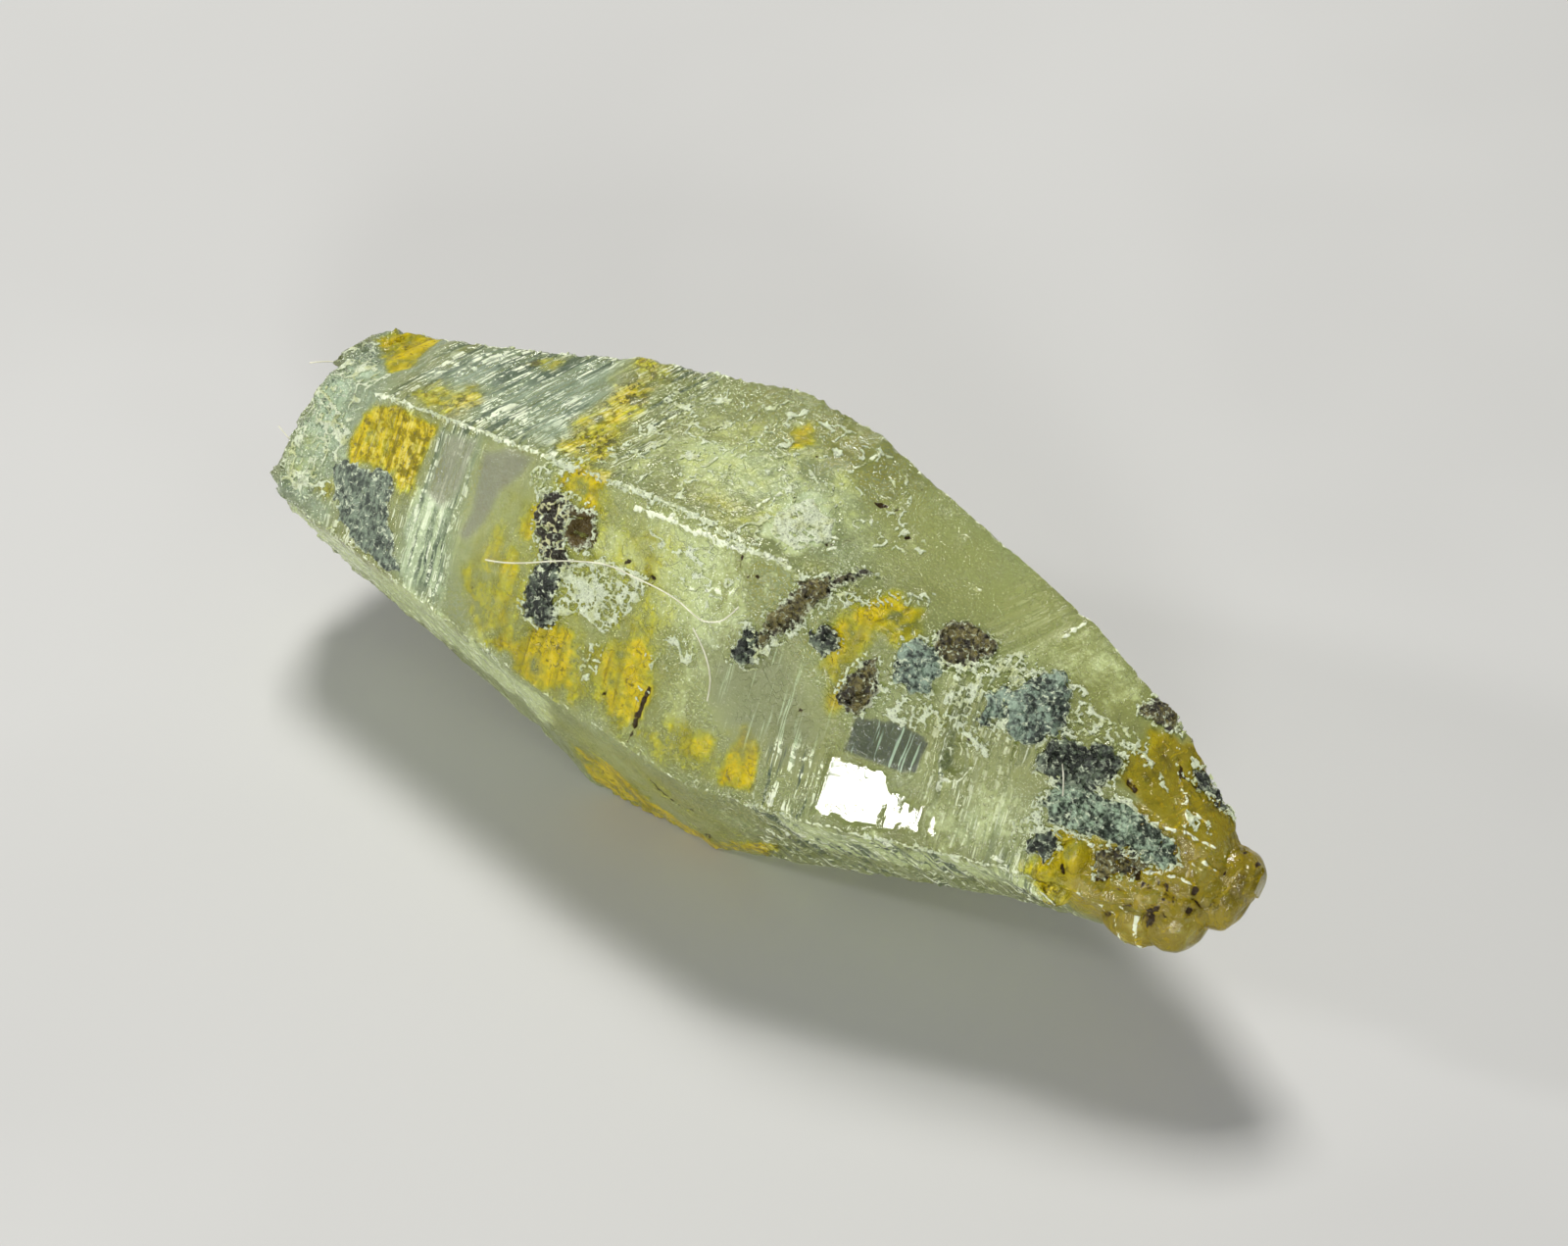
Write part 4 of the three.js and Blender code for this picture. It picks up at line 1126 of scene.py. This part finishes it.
def sapphireMaterial():
    finish = sapphireFinish
    material, start = newMaterial("sapphire")
    on = sapphireLayers(start)
    body = bodyColour(on)
    shade = stainColour(start, on)
    body = on.amberMask.blend(body, shade)
    # painted reflection: a lavender-grey cast on the smooth facets, for what they mirror
    body = on.lavender.between(0.1, 0.45).blend(body, finish["lavender"])
    # the dark pane and the shaded faces take painted dark reflection and painted shade, with fine scratch
    # lines
    paneMarks = on.hair.between(0.62, 0.8) * on.lines.between(0.4, 0.7)
    body = on.pane.blend(body, paneMarks.blend(finish["paintedPaneShade"], finish["cool"]))
    frost = frostAndPaintedGlints(start, on)
    body = frost.blend(body, finish["frost"])
    darkMask = (on.dark + 0.7 * (on.grain - 0.5) + 0.5 * (on.mottle - 0.5)).between(0.4, 0.8)
    body = darkMask.blend(body, finish["dark"])

    roughness = 0.04 + 0.12 * on.mottle.between(0.2, 0.9) * (1 - on.honey) + 0.2 * frost
    roughness = roughness * (1 - 0.85 * on.gloss) + 0.015
    height = on.lines * (0.12 + 0.6 * on.ribs) * (1 - 0.6 * on.smooth) + on.broad * 0.8 * on.ribs
    height = height + on.grain * (0.08 + 0.55 * on.etched + 0.1 * on.honey) * (1 - 0.6 * on.smooth)
    height = height + on.hair * 0.2 * on.ribs + 0.08 * on.grit * (1 - on.honey)
    height = height + on.squiggles * (0.15 + 0.5 * on.etched)
    bump = start.bump(finish["bump"], height * (1 - 0.97 * on.gloss))
    tint = start.node("ShaderNodeMix", {"data_type": "RGBA"}, {
        0: finish["glassiness"], 6: body, 7: finish["glass"]}, 2)
    tint = on.amberMask.blend(tint, on.depth.blend(finish["stainGlass"], finish["stainGlassDeep"]))
    clear = start.principled({
        "Base Color": tint, "Roughness": roughness, "Normal": bump, "IOR": finish["ior"],
        "Transmission Weight": 1.0})
    cloudy = start.principled({
        "Base Color": body, "Roughness": roughness, "Normal": bump, "IOR": finish["cloudyIor"],
        "Specular IOR Level": 0.2})
    solid = 0.2 + frost * 0.75 + darkMask + on.amberMask * (0.2 + 0.5 * on.depth * (1 - on.honey))
    solid = solid + on.milkyMask * 0.4 + on.lavender * 0.3 + on.pane * 0.4
    solid = solid + on.flaws * on.amberMask * 0.4 + on.shadow * 0.8 + on.smooth * 0.16
    surface = start.node("ShaderNodeMixShader", None, {0: solid, 1: clear, 2: cloudy})
    volume = start.node("ShaderNodeVolumeAbsorption", None, {
        "Color": finish["absorption"], "Density": finish["density"]})
    start.node("ShaderNodeOutputMaterial", None, {"Surface": surface, "Volume": volume})
    return material


crystalPiece.data.materials.append(sapphireMaterial())
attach(crystalPiece, "root")
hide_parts("sapphire_crystal")
print("crystal finished")


# ---- crusts: fine sheets that follow the crystal's relief ----
crustMaking = {
    "step": 0.03,
    "margin": 0.24,  # of the grid round the outline
    "thickness": 0.16,
    "laceThickness": 0.05,
    "smoothAngle": 35,
    "rimWidth": 0.22,  # over which a patch rises to its height
    "rimSink": 0.08,
    "grain": 0.2,
    "coatShare": {"blue": 0.7, "grey": 0.2, "cream": 0.8},  # how rough the top is, 1 for the rest
    "threadSize": {"lace": 0.17, "lines": 0.3, "edge": 0.13, "rim": 0.15},
    "rimLace": (-0.13, 0.06),  # from outside to inside the rim of a dark patch
}


def laidGrid(outline):
    # a grid over the outline's box on the map, and its places
    shape = np.array(outline)
    scale = sideWidth(shape[:, 0].mean(), int(shape[:, 1].mean()))
    margin = crustMaking["margin"]
    low = shape.min(0) - (margin, margin / scale)
    high = shape.max(0) + (margin, margin / scale)
    columns = round((high[0] - low[0]) / crustMaking["step"])
    rows = round((high[1] - low[1]) * scale / crustMaking["step"])
    bpy.ops.object.select_all(action="DESELECT")
    bpy.ops.mesh.primitive_grid_add(x_subdivisions=columns, y_subdivisions=rows, size=1)
    grid = bpy.context.object
    share = meshPoints(grid.data)[:, :2] * mm + 0.5
    x = low[0] + share[:, 0] * (high[0] - low[0])
    w = low[1] + share[:, 1] * (high[1] - low[1])
    return grid, x, w


def trimGrid(grid, keep):
    bpy.ops.object.mode_set(mode="EDIT")
    bpy.ops.mesh.select_mode(type="VERT")
    bpy.ops.mesh.select_all(action="DESELECT")
    bpy.ops.object.mode_set(mode="OBJECT")
    grid.data.vertices.foreach_set("select", ~keep)
    bpy.ops.object.mode_set(mode="EDIT")
    bpy.ops.mesh.delete(type="VERT")
    bpy.ops.mesh.select_all(action="SELECT")
    bpy.ops.mesh.delete_loose()
    bpy.ops.object.mode_set(mode="OBJECT")


def raggedDepth(outline, points, x, w):
    wander = 0.2 * rough(points, 0.5, 301, 3)
    return outlineDepth(outline, x, w) + wander + 0.1 * noise(points, 0.13, 303) + 0.03


def darkSheet(outline, kind, height):
    # a patch of rock: steep ragged rim, granular top
    grid, x, w = laidGrid(outline)
    points = mapToPoint(x, w)
    relief, _ = crystalRelief(points, x, w)
    depth = raggedDepth(outline, points, x, w)
    _, _, owner, lean = grains(points + 0.03 * noise(points, 0.2, 305)[:, None], crustMaking["grain"], 307)
    broad = rough(points, 0.6, 309, 2)
    coat = 0.08 * lean + 0.06 * (owner - 0.5) + 0.03 * noise(points, 0.07, 311) + 0.06 * broad
    coat *= crustMaking["coatShare"].get(kind, 1)
    rise = height * (0.35 + 0.65 * ramp(depth, 0.0, crustMaking["rimWidth"])) + coat * ramp(depth, 0, 0.1)
    rise -= crustMaking["rimSink"] * (1 - ramp(depth, -0.02, 0.04))
    if kind == "hole":
        rise = 0.05 * (1 - ramp(depth, 0.02, 0.08)) + 0.02 + 0.02 * owner
    movePoints(grid.data, finishedPoints(points, mapNormal(x, w), relief + rise))
    for name in ("blue", "green", "brown", "hole", "grey", "cream"):
        paint(grid.data, name, np.full(len(x), 1.0 if name == kind else 0.0))
    paint(grid.data, "rim", 1 - ramp(depth, 0.0, 0.14))
    trimGrid(grid, depth > 0)
    return grid


def paleSheet(outline, kind, amount):
    # a lacy crust: winding filaments that stand out of the surface, with gaps between them
    grid, x, w = laidGrid(outline)
    points = mapToPoint(x, w)
    relief, _ = crystalRelief(points, x, w)
    depth = outlineDepth(outline, x, w) + 0.12 * rough(points, 0.3, 321, 2)
    size = crustMaking["threadSize"][kind]
    thread = np.maximum(veins(points, size, 323), 0.85 * veins(points, size * 0.7, 333))
    clump = rough(points, 0.5, 341, 2)
    inner = ramp(depth, -0.02, 0.1)
    fill = thread + amount * 0.6 - 0.45 + 0.35 * clump
    keep = (depth > 0) & (fill > 0.5)
    rise = (0.015 + 0.075 * thread * (0.6 + 0.5 * clump)) * inner + 0.012 * noise(points, 0.07, 343)
    if kind == "lines":
        rise *= 0.6
    if kind == "rim":
        depth = raggedDepth(outline, points, x, w)
        outside, inside = crustMaking["rimLace"]
        keep = (depth > outside) & (depth < inside) & (fill > 0.5)
        rise = (0.05 + 0.07 * thread) * window(depth, outside, inside, 0.04)
    movePoints(grid.data, finishedPoints(points, mapNormal(x, w), relief + rise))
    trimGrid(grid, keep)
    return grid


def thickSheets(name, sheets, thickness):
    # joins the sheets into one piece and gives them thickness, down into the crystal
    bpy.ops.object.select_all(action="DESELECT")
    for sheet in sheets:
        sheet.select_set(True)
    bpy.context.view_layer.objects.active = sheets[0]
    if len(sheets) > 1:
        bpy.ops.object.join()
    piece = bpy.context.object
    piece.name = name
    piece.data.name = name
    solid = piece.modifiers.new("thickness", "SOLIDIFY")
    solid.thickness = thickness * mm
    solid.offset = -1
    bpy.ops.object.modifier_apply(modifier="thickness")
    bpy.ops.object.shade_smooth_by_angle(angle=math.radians(crustMaking["smoothAngle"]))
    return piece


# each patch of dark rock: outline on the map, kind of rock, how far it stands out
crusts = {
    "crust_broken_end": (
        (((-12.0, 1.4), (-11.6, 1.5), (-10.8, 1.53), (-10.0, 1.54), (-9.95, 1.42), (-9.7, 1.25), (-8.9, 1.07),
          (-9.4, 1.02), (-10.8, 1.05), (-11.7, 1.2)), "grey", 0.02),
    ),
    "crust_middle": (
        (((-5.2, 1.72), (-5.1, 1.8), (-4.7, 1.86), (-4.3, 1.85), (-4.1, 1.78), (-4.0, 1.66), (-4.6, 1.6),
          (-5.1, 1.66)), "cream", 0.08),
        (((-4.24, 1.81), (-3.4, 1.842), (-3.2, 1.78), (-3.26, 1.68), (-3.76, 1.655),
          (-4.14, 1.69)), "hole", 0.1),
        (((-4.85, 1.67), (-4.05, 1.71), (-3.65, 1.56), (-4.3, 1.5), (-4.75, 1.57)), "cream", 0.07),
        (((-4.8, 1.45), (-4.5, 1.54), (-3.95, 1.57), (-3.75, 1.5), (-3.9, 1.42), (-3.66, 1.32), (-4.0, 1.27),
          (-4.43, 1.27), (-4.78, 1.32)), "dark", 0.12),
    ),
    "crust_streak": (
        (((1.7, 1.7), (1.95, 1.72), (2.15, 1.68), (2.15, 1.57), (1.95, 1.54), (1.66, 1.55),
          (1.6, 1.62)), "dark", 0.12),
        (((2.0, 1.64), (2.15, 1.77), (2.5, 1.9), (2.9, 1.99), (3.2, 2.1), (3.5, 2.24), (3.75, 2.26),
          (3.6, 2.14), (3.35, 1.97), (2.9, 1.83), (2.5, 1.72), (2.3, 1.64)), "brown", 0.1),
    ),
    "crust_round_lump": (
        (((3.36, 1.81), (3.5, 1.87), (3.75, 1.89), (3.95, 1.87), (4.02, 1.82), (3.9, 1.77), (3.66, 1.76),
          (3.42, 1.77)), "dark", 0.2),
    ),
    "crust_face_lump": (
        (((4.75, 1.86), (5.0, 1.87), (5.2, 1.83), (5.24, 1.75), (5.14, 1.63), (4.85, 1.58), (4.42, 1.57),
          (4.37, 1.65), (4.51, 1.73), (4.66, 1.8)), "brown", 0.1),
    ),
    "crust_trail_upper": (
        (((5.43, 1.97), (5.67, 2.05), (6.06, 2.06), (6.4, 2.03), (6.54, 1.93), (6.35, 1.83), (5.96, 1.8),
          (5.62, 1.82), (5.43, 1.88)), "blue", 0.14),
        (((6.0, 2.1), (5.96, 2.3), (6.25, 2.36), (6.64, 2.38), (7.0, 2.34), (7.2, 2.27), (7.03, 2.17),
          (6.9, 2.06), (6.4, 2.02)), "brown", 0.12),
    ),
    "crust_tip_trail": (
        (((7.6, 1.88), (7.66, 2.0), (7.85, 2.12), (8.2, 2.12), (8.3, 1.96), (8.1, 1.83),
          (7.75, 1.8)), "blue", 0.1),
        (((8.1, 2.03), (8.3, 2.4), (8.72, 2.48), (9.1, 2.4), (9.44, 2.25), (9.64, 2.12), (9.44, 1.98),
          (9.1, 1.87), (8.67, 1.84), (8.45, 1.9)), "blue", 0.18),
        (((9.2, 1.84), (9.4, 1.97), (9.64, 2.07), (10.1, 2.12), (10.6, 2.26), (11.1, 2.3), (11.2, 2.17),
          (11.15, 2.0), (10.8, 1.83), (10.1, 1.76), (9.35, 1.75)), "dark", 0.12),
        (((9.6, 1.57), (9.83, 1.72), (10.4, 1.83), (11.1, 1.86), (11.6, 1.9), (12.4, 1.9), (13.0, 1.88),
          (13.1, 1.68), (12.9, 1.52), (12.3, 1.52), (11.6, 1.55), (10.7, 1.5), (10.17, 1.45),
          (9.83, 1.5)), "green", 0.1),
        (((11.3, 1.4), (11.8, 1.52), (12.4, 1.56), (12.6, 1.46), (12.3, 1.34), (11.9, 1.28),
          (11.6, 1.18)), "brown", 0.05),
    ),
    "crust_small_knot": (
        (((9.7, 1.25), (9.88, 1.39), (10.27, 1.39), (10.45, 1.34), (10.2, 1.2), (9.85, 1.18)), "dark", 0.1),
    ),
    "crust_edge_upper": (
        (((10.41, 2.85), (10.56, 2.98), (10.85, 3.04), (11.33, 3.03), (11.57, 2.95), (11.23, 2.88),
          (10.9, 2.82), (10.65, 2.77)), "brown", 0.12),
    ),
    "crust_edge_tip": (
        (((12.2, 2.84), (12.7, 2.98), (13.2, 3.1), (13.5, 3.06), (13.2, 2.92), (12.7, 2.8),
          (12.4, 2.76)), "dark", 0.1),
    ),
}
# pale lacy crust: outline, kind, how closely it is woven
paleCrusts = {
    "besideMiddleCrust": (
        ((-3.9, 1.55), (-2.8, 1.68), (-1.25, 1.68), (-1.2, 1.6), (-1.8, 1.45), (-2.05, 1.37), (-2.95, 1.4),
         (-3.8, 1.33)), "lace", 1.45),
    "overMiddleCrust": (
        ((-5.95, 1.86), (-5.45, 1.96), (-4.7, 2.06), (-4.3, 2.05), (-4.5, 1.9), (-3.2, 1.86), (-3.3, 1.8),
         (-5.2, 1.8)), "lace", 0.95),
    "flake": (
        ((-2.42, 1.32), (-2.07, 1.35), (-1.87, 1.3), (-1.97, 1.2), (-2.3, 1.12), (-2.55, 1.22)), "lace", 0.9),
    "belowStreak": (
        ((2.3, 1.66), (3.0, 1.84), (3.8, 2.1), (5.2, 2.42), (5.3, 2.3), (4.2, 2.04), (3.4, 1.9),
         (2.7, 1.7)), "lace", 0.85),
    "topFrost": (((1.0, 2.24), (1.3, 2.42), (2.2, 2.4), (2.5, 2.26), (2.1, 2.1), (1.3, 2.12)), "lace", 1.7),
    "faceTrail": (((5.2, 1.74), (6.0, 1.8), (7.0, 1.8), (7.0, 1.66), (6.2, 1.6), (5.3, 1.6)), "lace", 0.75),
    "trailRimA": (
        ((6.6, 1.84), (6.9, 2.06), (7.3, 2.3), (7.6, 2.46), (8.4, 2.42), (8.3, 2.2), (7.6, 2.14), (7.5, 1.84),
         (7.9, 1.76), (8.3, 1.8), (8.2, 1.66), (7.4, 1.7)), "lace", 1.2),
    "trailRimB": (
        ((8.8, 2.46), (9.2, 2.56), (9.8, 2.46), (10.5, 2.54), (11.1, 2.66), (11.4, 2.5), (11.0, 2.36),
         (10.3, 2.3), (9.7, 2.12), (9.3, 2.38)), "lace", 1.2),
    "trailRimC": (
        ((10.7, 2.42), (11.0, 2.52), (11.7, 2.5), (12.4, 2.3), (11.8, 2.36), (11.1, 2.3)), "lace", 0.8),
    "tipPale": (((12.6, 2.33), (13.0, 2.44), (13.4, 2.56), (13.5, 2.36), (13.0, 2.15)), "lace", 0.8),
    "greenRim": (((9.5, 1.5), (9.6, 1.75), (9.9, 1.78), (9.8, 1.55)), "lace", 1.1),
    "knotRim": (
        ((9.2, 1.35), (9.75, 1.5), (10.4, 1.5), (10.9, 1.53), (10.9, 1.44), (10.4, 1.38),
         (9.5, 1.12)), "lace", 0.95),
    "tipStreak": (((11.3, 2.72), (12.0, 2.86), (13.2, 2.92), (12.6, 2.66), (11.8, 2.58)), "lace", 0.4),
    "topMiddle": (
        ((-4.8, 2.08), (-4.0, 2.9), (2.4, 2.95), (4.4, 2.6), (3.6, 2.3), (1.6, 2.02),
         (-2.0, 2.02)), "lines", 0.3),
    "faceMiddle": (
        ((-2.0, 1.98), (1.6, 1.98), (2.1, 1.7), (0.8, 1.5), (-0.6, 1.2), (-1.0, 1.62)), "lines", 0.26),
    "brokenEnd": (
        ((-13.9, 1.1), (-13.9, 2.9), (-13.4, 2.95), (-12.6, 2.4), (-11.7, 2.3), (-12.0, 1.4),
         (-11.8, 1.1)), "lines", 0.7),
    "ridgeLeft": (((-11.5, 1.98), (-5.0, 1.975), (-5.0, 2.015), (-11.5, 2.02)), "edge", 1.0),
    "ridgeMiddle": (
        ((-5.0, 1.97), (-2.0, 1.97), (1.4, 1.96), (2.4, 2.0), (1.4, 2.02), (-2.0, 2.02),
         (-5.0, 2.015)), "edge", 1.1),
    "frontLeft": (((-12.6, 0.98), (-5.0, 0.985), (-5.0, 1.02), (-12.6, 1.03)), "edge", 0.5),
    "frontRight": (((3.0, 0.985), (10.2, 0.975), (10.2, 1.025), (3.0, 1.015)), "edge", 0.9),
    "shoulder": (((-12.6, 2.99), (-1.0, 2.985), (-1.0, 3.015), (-12.6, 3.01)), "edge", 0.4),
    "backEdge": (((-12.4, 3.985), (12.4, 3.98), (12.4, 4.02), (-12.4, 4.015)), "edge", 0.4),
}

rockFinish = {
    "dark": (0.012, 0.016, 0.010, 1),
    "middle": (0.20, 0.25, 0.17, 1),
    "pale": (0.88, 0.96, 0.70, 1),
    "blueDark": (0.02, 0.03, 0.022, 1),
    "blue": (0.34, 0.45, 0.34, 1),
    "cream": (0.74, 0.73, 0.40, 1),
    "greenDark": (0.018, 0.03, 0.016, 1),
    "green": (0.46, 0.60, 0.42, 1),
    "brown": (0.022, 0.016, 0.006, 1),
    "brownPale": (0.22, 0.19, 0.06, 1),
    "hole": (0.10, 0.068, 0.012, 1),
    "greyDark": (0.045, 0.06, 0.045, 1),
    "grey": (0.27, 0.34, 0.24, 1),
}


def rockMaterial():
    finish = rockFinish
    material, start = newMaterial("hostRock")
    patchy = start.pattern(0.5, 4, 0.65)
    grit = start.pattern(0.13, 4, 0.65)
    flecksAndGlints = start.veins(0.26, 0.12)
    shade = 0.5 * patchy + 0.5 * grit
    scratched = 0.35 * start.stripes(0.09, 0.35, 3) + 0.35 * grit + 0.3 * patchy
    network = start.veins(0.5, 0.16) * (0.5 + 0.6 * patchy) + (grit - 0.5) * 0.5
    colour = shade.between(0.4, 0.75).blend(finish["dark"], finish["middle"])
    for kind, source, low, high in (
            ("blue", shade, "blueDark", "blue"), ("green", shade, "greenDark", "green"),
            ("grey", scratched, "greyDark", "grey"), ("brown", shade, "brown", "brownPale"),
            ("cream", network, "brown", "cream")):
        own = source.between(0.3, 0.7).blend(finish[low], finish[high])
        colour = start.attribute(kind).blend(colour, own)
    colour = start.attribute("hole").blend(colour, finish["hole"])
    # pale flecks, partly painted glints, and the pale rims round the patches
    paleFlecksGlintsAndRims = flecksAndGlints * grit.between(0.45, 0.7) * (1 - start.attribute("hole"))
    paleFlecksGlintsAndRims = paleFlecksGlintsAndRims + start.attribute("rim") * grit.between(0.4, 0.65)
    colour = (paleFlecksGlintsAndRims * 0.9).blend(colour, finish["pale"])
    roughness = 0.45 - 0.35 * grit.between(0.4, 0.75)
    bump = start.bump(0.04, grit + 0.6 * patchy + 0.8 * flecksAndGlints)
    return start.finished(material, {
        "Base Color": colour, "Roughness": roughness, "Normal": bump, "IOR": 1.65,
        "Specular IOR Level": 0.35})


paleFinish = {"pale": (0.90, 0.98, 0.70, 1), "warm": (0.70, 0.76, 0.38, 1), "dark": (0.12, 0.13, 0.07, 1)}


def paleMaterial():
    finish = paleFinish
    material, start = newMaterial("paleCrust")
    patchy = start.pattern(0.4, 3, 0.6)
    grit = start.pattern(0.06, 3, 0.6)
    colour = patchy.between(0.15, 0.6).blend(finish["warm"], finish["pale"])
    colour = ((1 - grit.between(0.15, 0.4)) * 0.7).blend(colour, finish["dark"])
    roughness = 0.5 - 0.35 * grit.between(0.4, 0.8)
    return start.finished(material, {
        "Base Color": colour, "Roughness": roughness, "Normal": start.bump(0.02, grit), "IOR": 1.65,
        "Transmission Weight": 0.2})


hostRock = rockMaterial()
for name, patches in crusts.items():
    words = name.split("_")
    title = words[1] + "".join(word.capitalize() for word in words[2:]) + "Crust"
    piece = thickSheets(title, [darkSheet(*patch) for patch in patches], crustMaking["thickness"])
    piece.data.materials.append(hostRock)
    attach(piece, "root")
    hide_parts(name)
    print(title, len(piece.data.polygons), "faces")
laceSheets = [paleSheet(*patch) for patch in paleCrusts.values()]
laceSheets += [paleSheet(outline, "rim", 0.85) for patches in crusts.values() for outline, kind, _ in patches
               if kind != "grey"]
laceCrust = thickSheets("laceCrust", laceSheets, crustMaking["laceThickness"])
laceCrust.data.materials.append(paleMaterial())
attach(laceCrust, "root")
print("lace crust", len(laceCrust.data.polygons), "faces")

# ---- loose lint threads ----
lint = {
    "radius": 0.02,
    "threads": (
        ((-6.2, -3.65, 7.2), (-5.6, -3.75, 7.5), (-4.8, -3.7, 7.9), (-4.0, -3.6, 8.35), (-3.2, -3.5, 8.7),
         (-2.4, -3.45, 9.0), (-1.6, -3.5, 9.05), (-0.9, -3.55, 9.15), (-0.2, -3.6, 9.15), (0.3, -3.7, 9.05),
         (0.65, -3.75, 9.0), (1.05, -3.7, 9.15), (1.3, -3.6, 9.35), (1.5, -3.4, 9.7)),
        ((-13.5, 0.4, 6.7), (-14.1, 0.2, 7.05), (-14.5, 0.05, 7.0), (-14.9, -0.1, 6.84)),
        ((-14.7, -1.75, 5.9), (-14.4, -1.8, 5.75), (-14.1, -1.85, 5.6)),
        ((0.45, -3.86, 8.75), (0.7, -3.96, 8.6), (1.05, -4.14, 8.32), (1.3, -4.33, 8.02), (1.4, -4.5, 7.73),
         (1.43, -4.66, 7.45)),
        ((9.9, -1.9, 8.0), (10.1, -2.1, 7.8), (10.2, -2.3, 7.4)),
    ),
    "pale": (0.84, 0.82, 0.66, 1),
    "shade": (0.62, 0.60, 0.46, 1),
    "roughness": 0.6,
}


def lintThreads():
    bpy.ops.object.select_all(action="DESELECT")
    for points in lint["threads"]:
        curve = bpy.data.curves.new("lintThreads", "CURVE")
        curve.dimensions = "3D"
        curve.bevel_depth = lint["radius"] * mm
        curve.bevel_resolution = 1
        curve.resolution_u = 6
        curve.use_fill_caps = True
        spline = curve.splines.new("NURBS")
        spline.points.add(len(points) - 1)
        for knot, place in zip(spline.points, points):
            knot.co = (*(c * mm for c in place), 1)
        spline.order_u = 3
        spline.use_endpoint_u = True
        thread = bpy.data.objects.new("lintThreads", curve)
        bpy.context.scene.collection.objects.link(thread)
        thread.select_set(True)
        bpy.context.view_layer.objects.active = thread
    bpy.ops.object.convert(target="MESH")
    bpy.ops.object.join()
    piece = bpy.context.object
    piece.name = "lintThreads"
    material, start = newMaterial("lint")
    colour = start.pattern(0.4).between(0.1, 0.9).blend(lint["pale"], lint["shade"])
    piece.data.materials.clear()
    piece.data.materials.append(start.finished(material, {
        "Base Color": colour, "Roughness": lint["roughness"]}))
    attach(piece, "root")


lintThreads()
print("lint laid")

# ---- floor and light ----
studio = {
    "floorSize": 1.2,
    "floorDrop": 0.00002,  # below the crystal's resting face
    "floorPale": (0.56, 0.555, 0.55, 1),
    "floorShade": (0.535, 0.53, 0.525, 1),
    "sky": (0.63, 0.65, 0.63, 1),
    "skyStrength": 0.34,
    "lights": (  # name, direction from the crystal, distance, size, watts, colour
        ("key", (-0.35, 0.35, 0.87), 0.42, 0.12, 1.4, (1.0, 0.99, 0.95)),
        ("fill", (0.55, -0.75, 0.4), 0.5, 0.10, 0.75, (0.98, 1.0, 0.98)),
        ("rim", (-0.8, -0.45, 0.4), 0.5, 0.05, 0.6, (1.0, 1.0, 1.0)),
    ),
    # lights that the mirror pane and the ribs throw into the camera: name, lean of the rib, size, watts
    "cards": (("cardFlat", 0, 0.035, 0.11), ("cardLeft", -13, 0.06, 0.2), ("cardRight", 13, 0.06, 0.2)),
    "cardDistance": 0.45,
}


def addLight(name, way, distance, size, watts, colour):
    way = Vector(way).normalized()
    aim = Vector((0, 0, crystal["axisHeight"])) * mm
    bpy.ops.object.light_add(type="AREA", location=aim + way * distance)
    light = bpy.context.object
    light.name = name
    light.rotation_euler = (-way).to_track_quat("-Z", "Y").to_euler()
    light.data.size = size
    light.data.energy = watts
    light.data.color = colour


def mirrorWay(tilt):
    # the direction from which light reaches the camera by way of the flat mirror pane,
    # or by way of a rib that leans this many degrees along the crystal
    pane, normal = (Vector(part) for part in spotOn(mirrorPane["middle"]))
    along = (Vector((1, 0, 0)) - normal * normal.x).normalized()
    normal = normal * math.cos(math.radians(tilt)) + along * math.sin(math.radians(tilt))
    view = (bpy.context.scene.camera.location / mm - pane).normalized()
    return 2 * normal.dot(view) * normal - view


def makeStudio():
    bpy.ops.object.select_all(action="DESELECT")
    bpy.ops.mesh.primitive_plane_add(size=studio["floorSize"], location=(0, 0, -studio["floorDrop"]))
    floor = bpy.context.object
    floor.name = "floor"
    bpy.ops.object.transform_apply(location=True)
    material, start = newMaterial("floor")
    colour = start.pattern(30.0, 3.0).between(0.3, 0.7).blend(studio["floorPale"], studio["floorShade"])
    floor.data.materials.append(start.finished(material, {"Base Color": colour, "Roughness": 0.55}))
    for light in studio["lights"]:
        addLight(*light)
    for name, tilt, size, watts in studio["cards"]:
        addLight(name, mirrorWay(tilt), studio["cardDistance"], size, watts, (1, 1, 1))
    world = bpy.data.worlds.new("studio")
    bpy.context.scene.world = world
    world.use_nodes = True
    background = world.node_tree.nodes["Background"]
    background.inputs["Color"].default_value = studio["sky"]
    background.inputs["Strength"].default_value = studio["skyStrength"]
    bpy.context.scene.view_settings.view_transform = "Standard"


makeStudio()
print("studio lit")
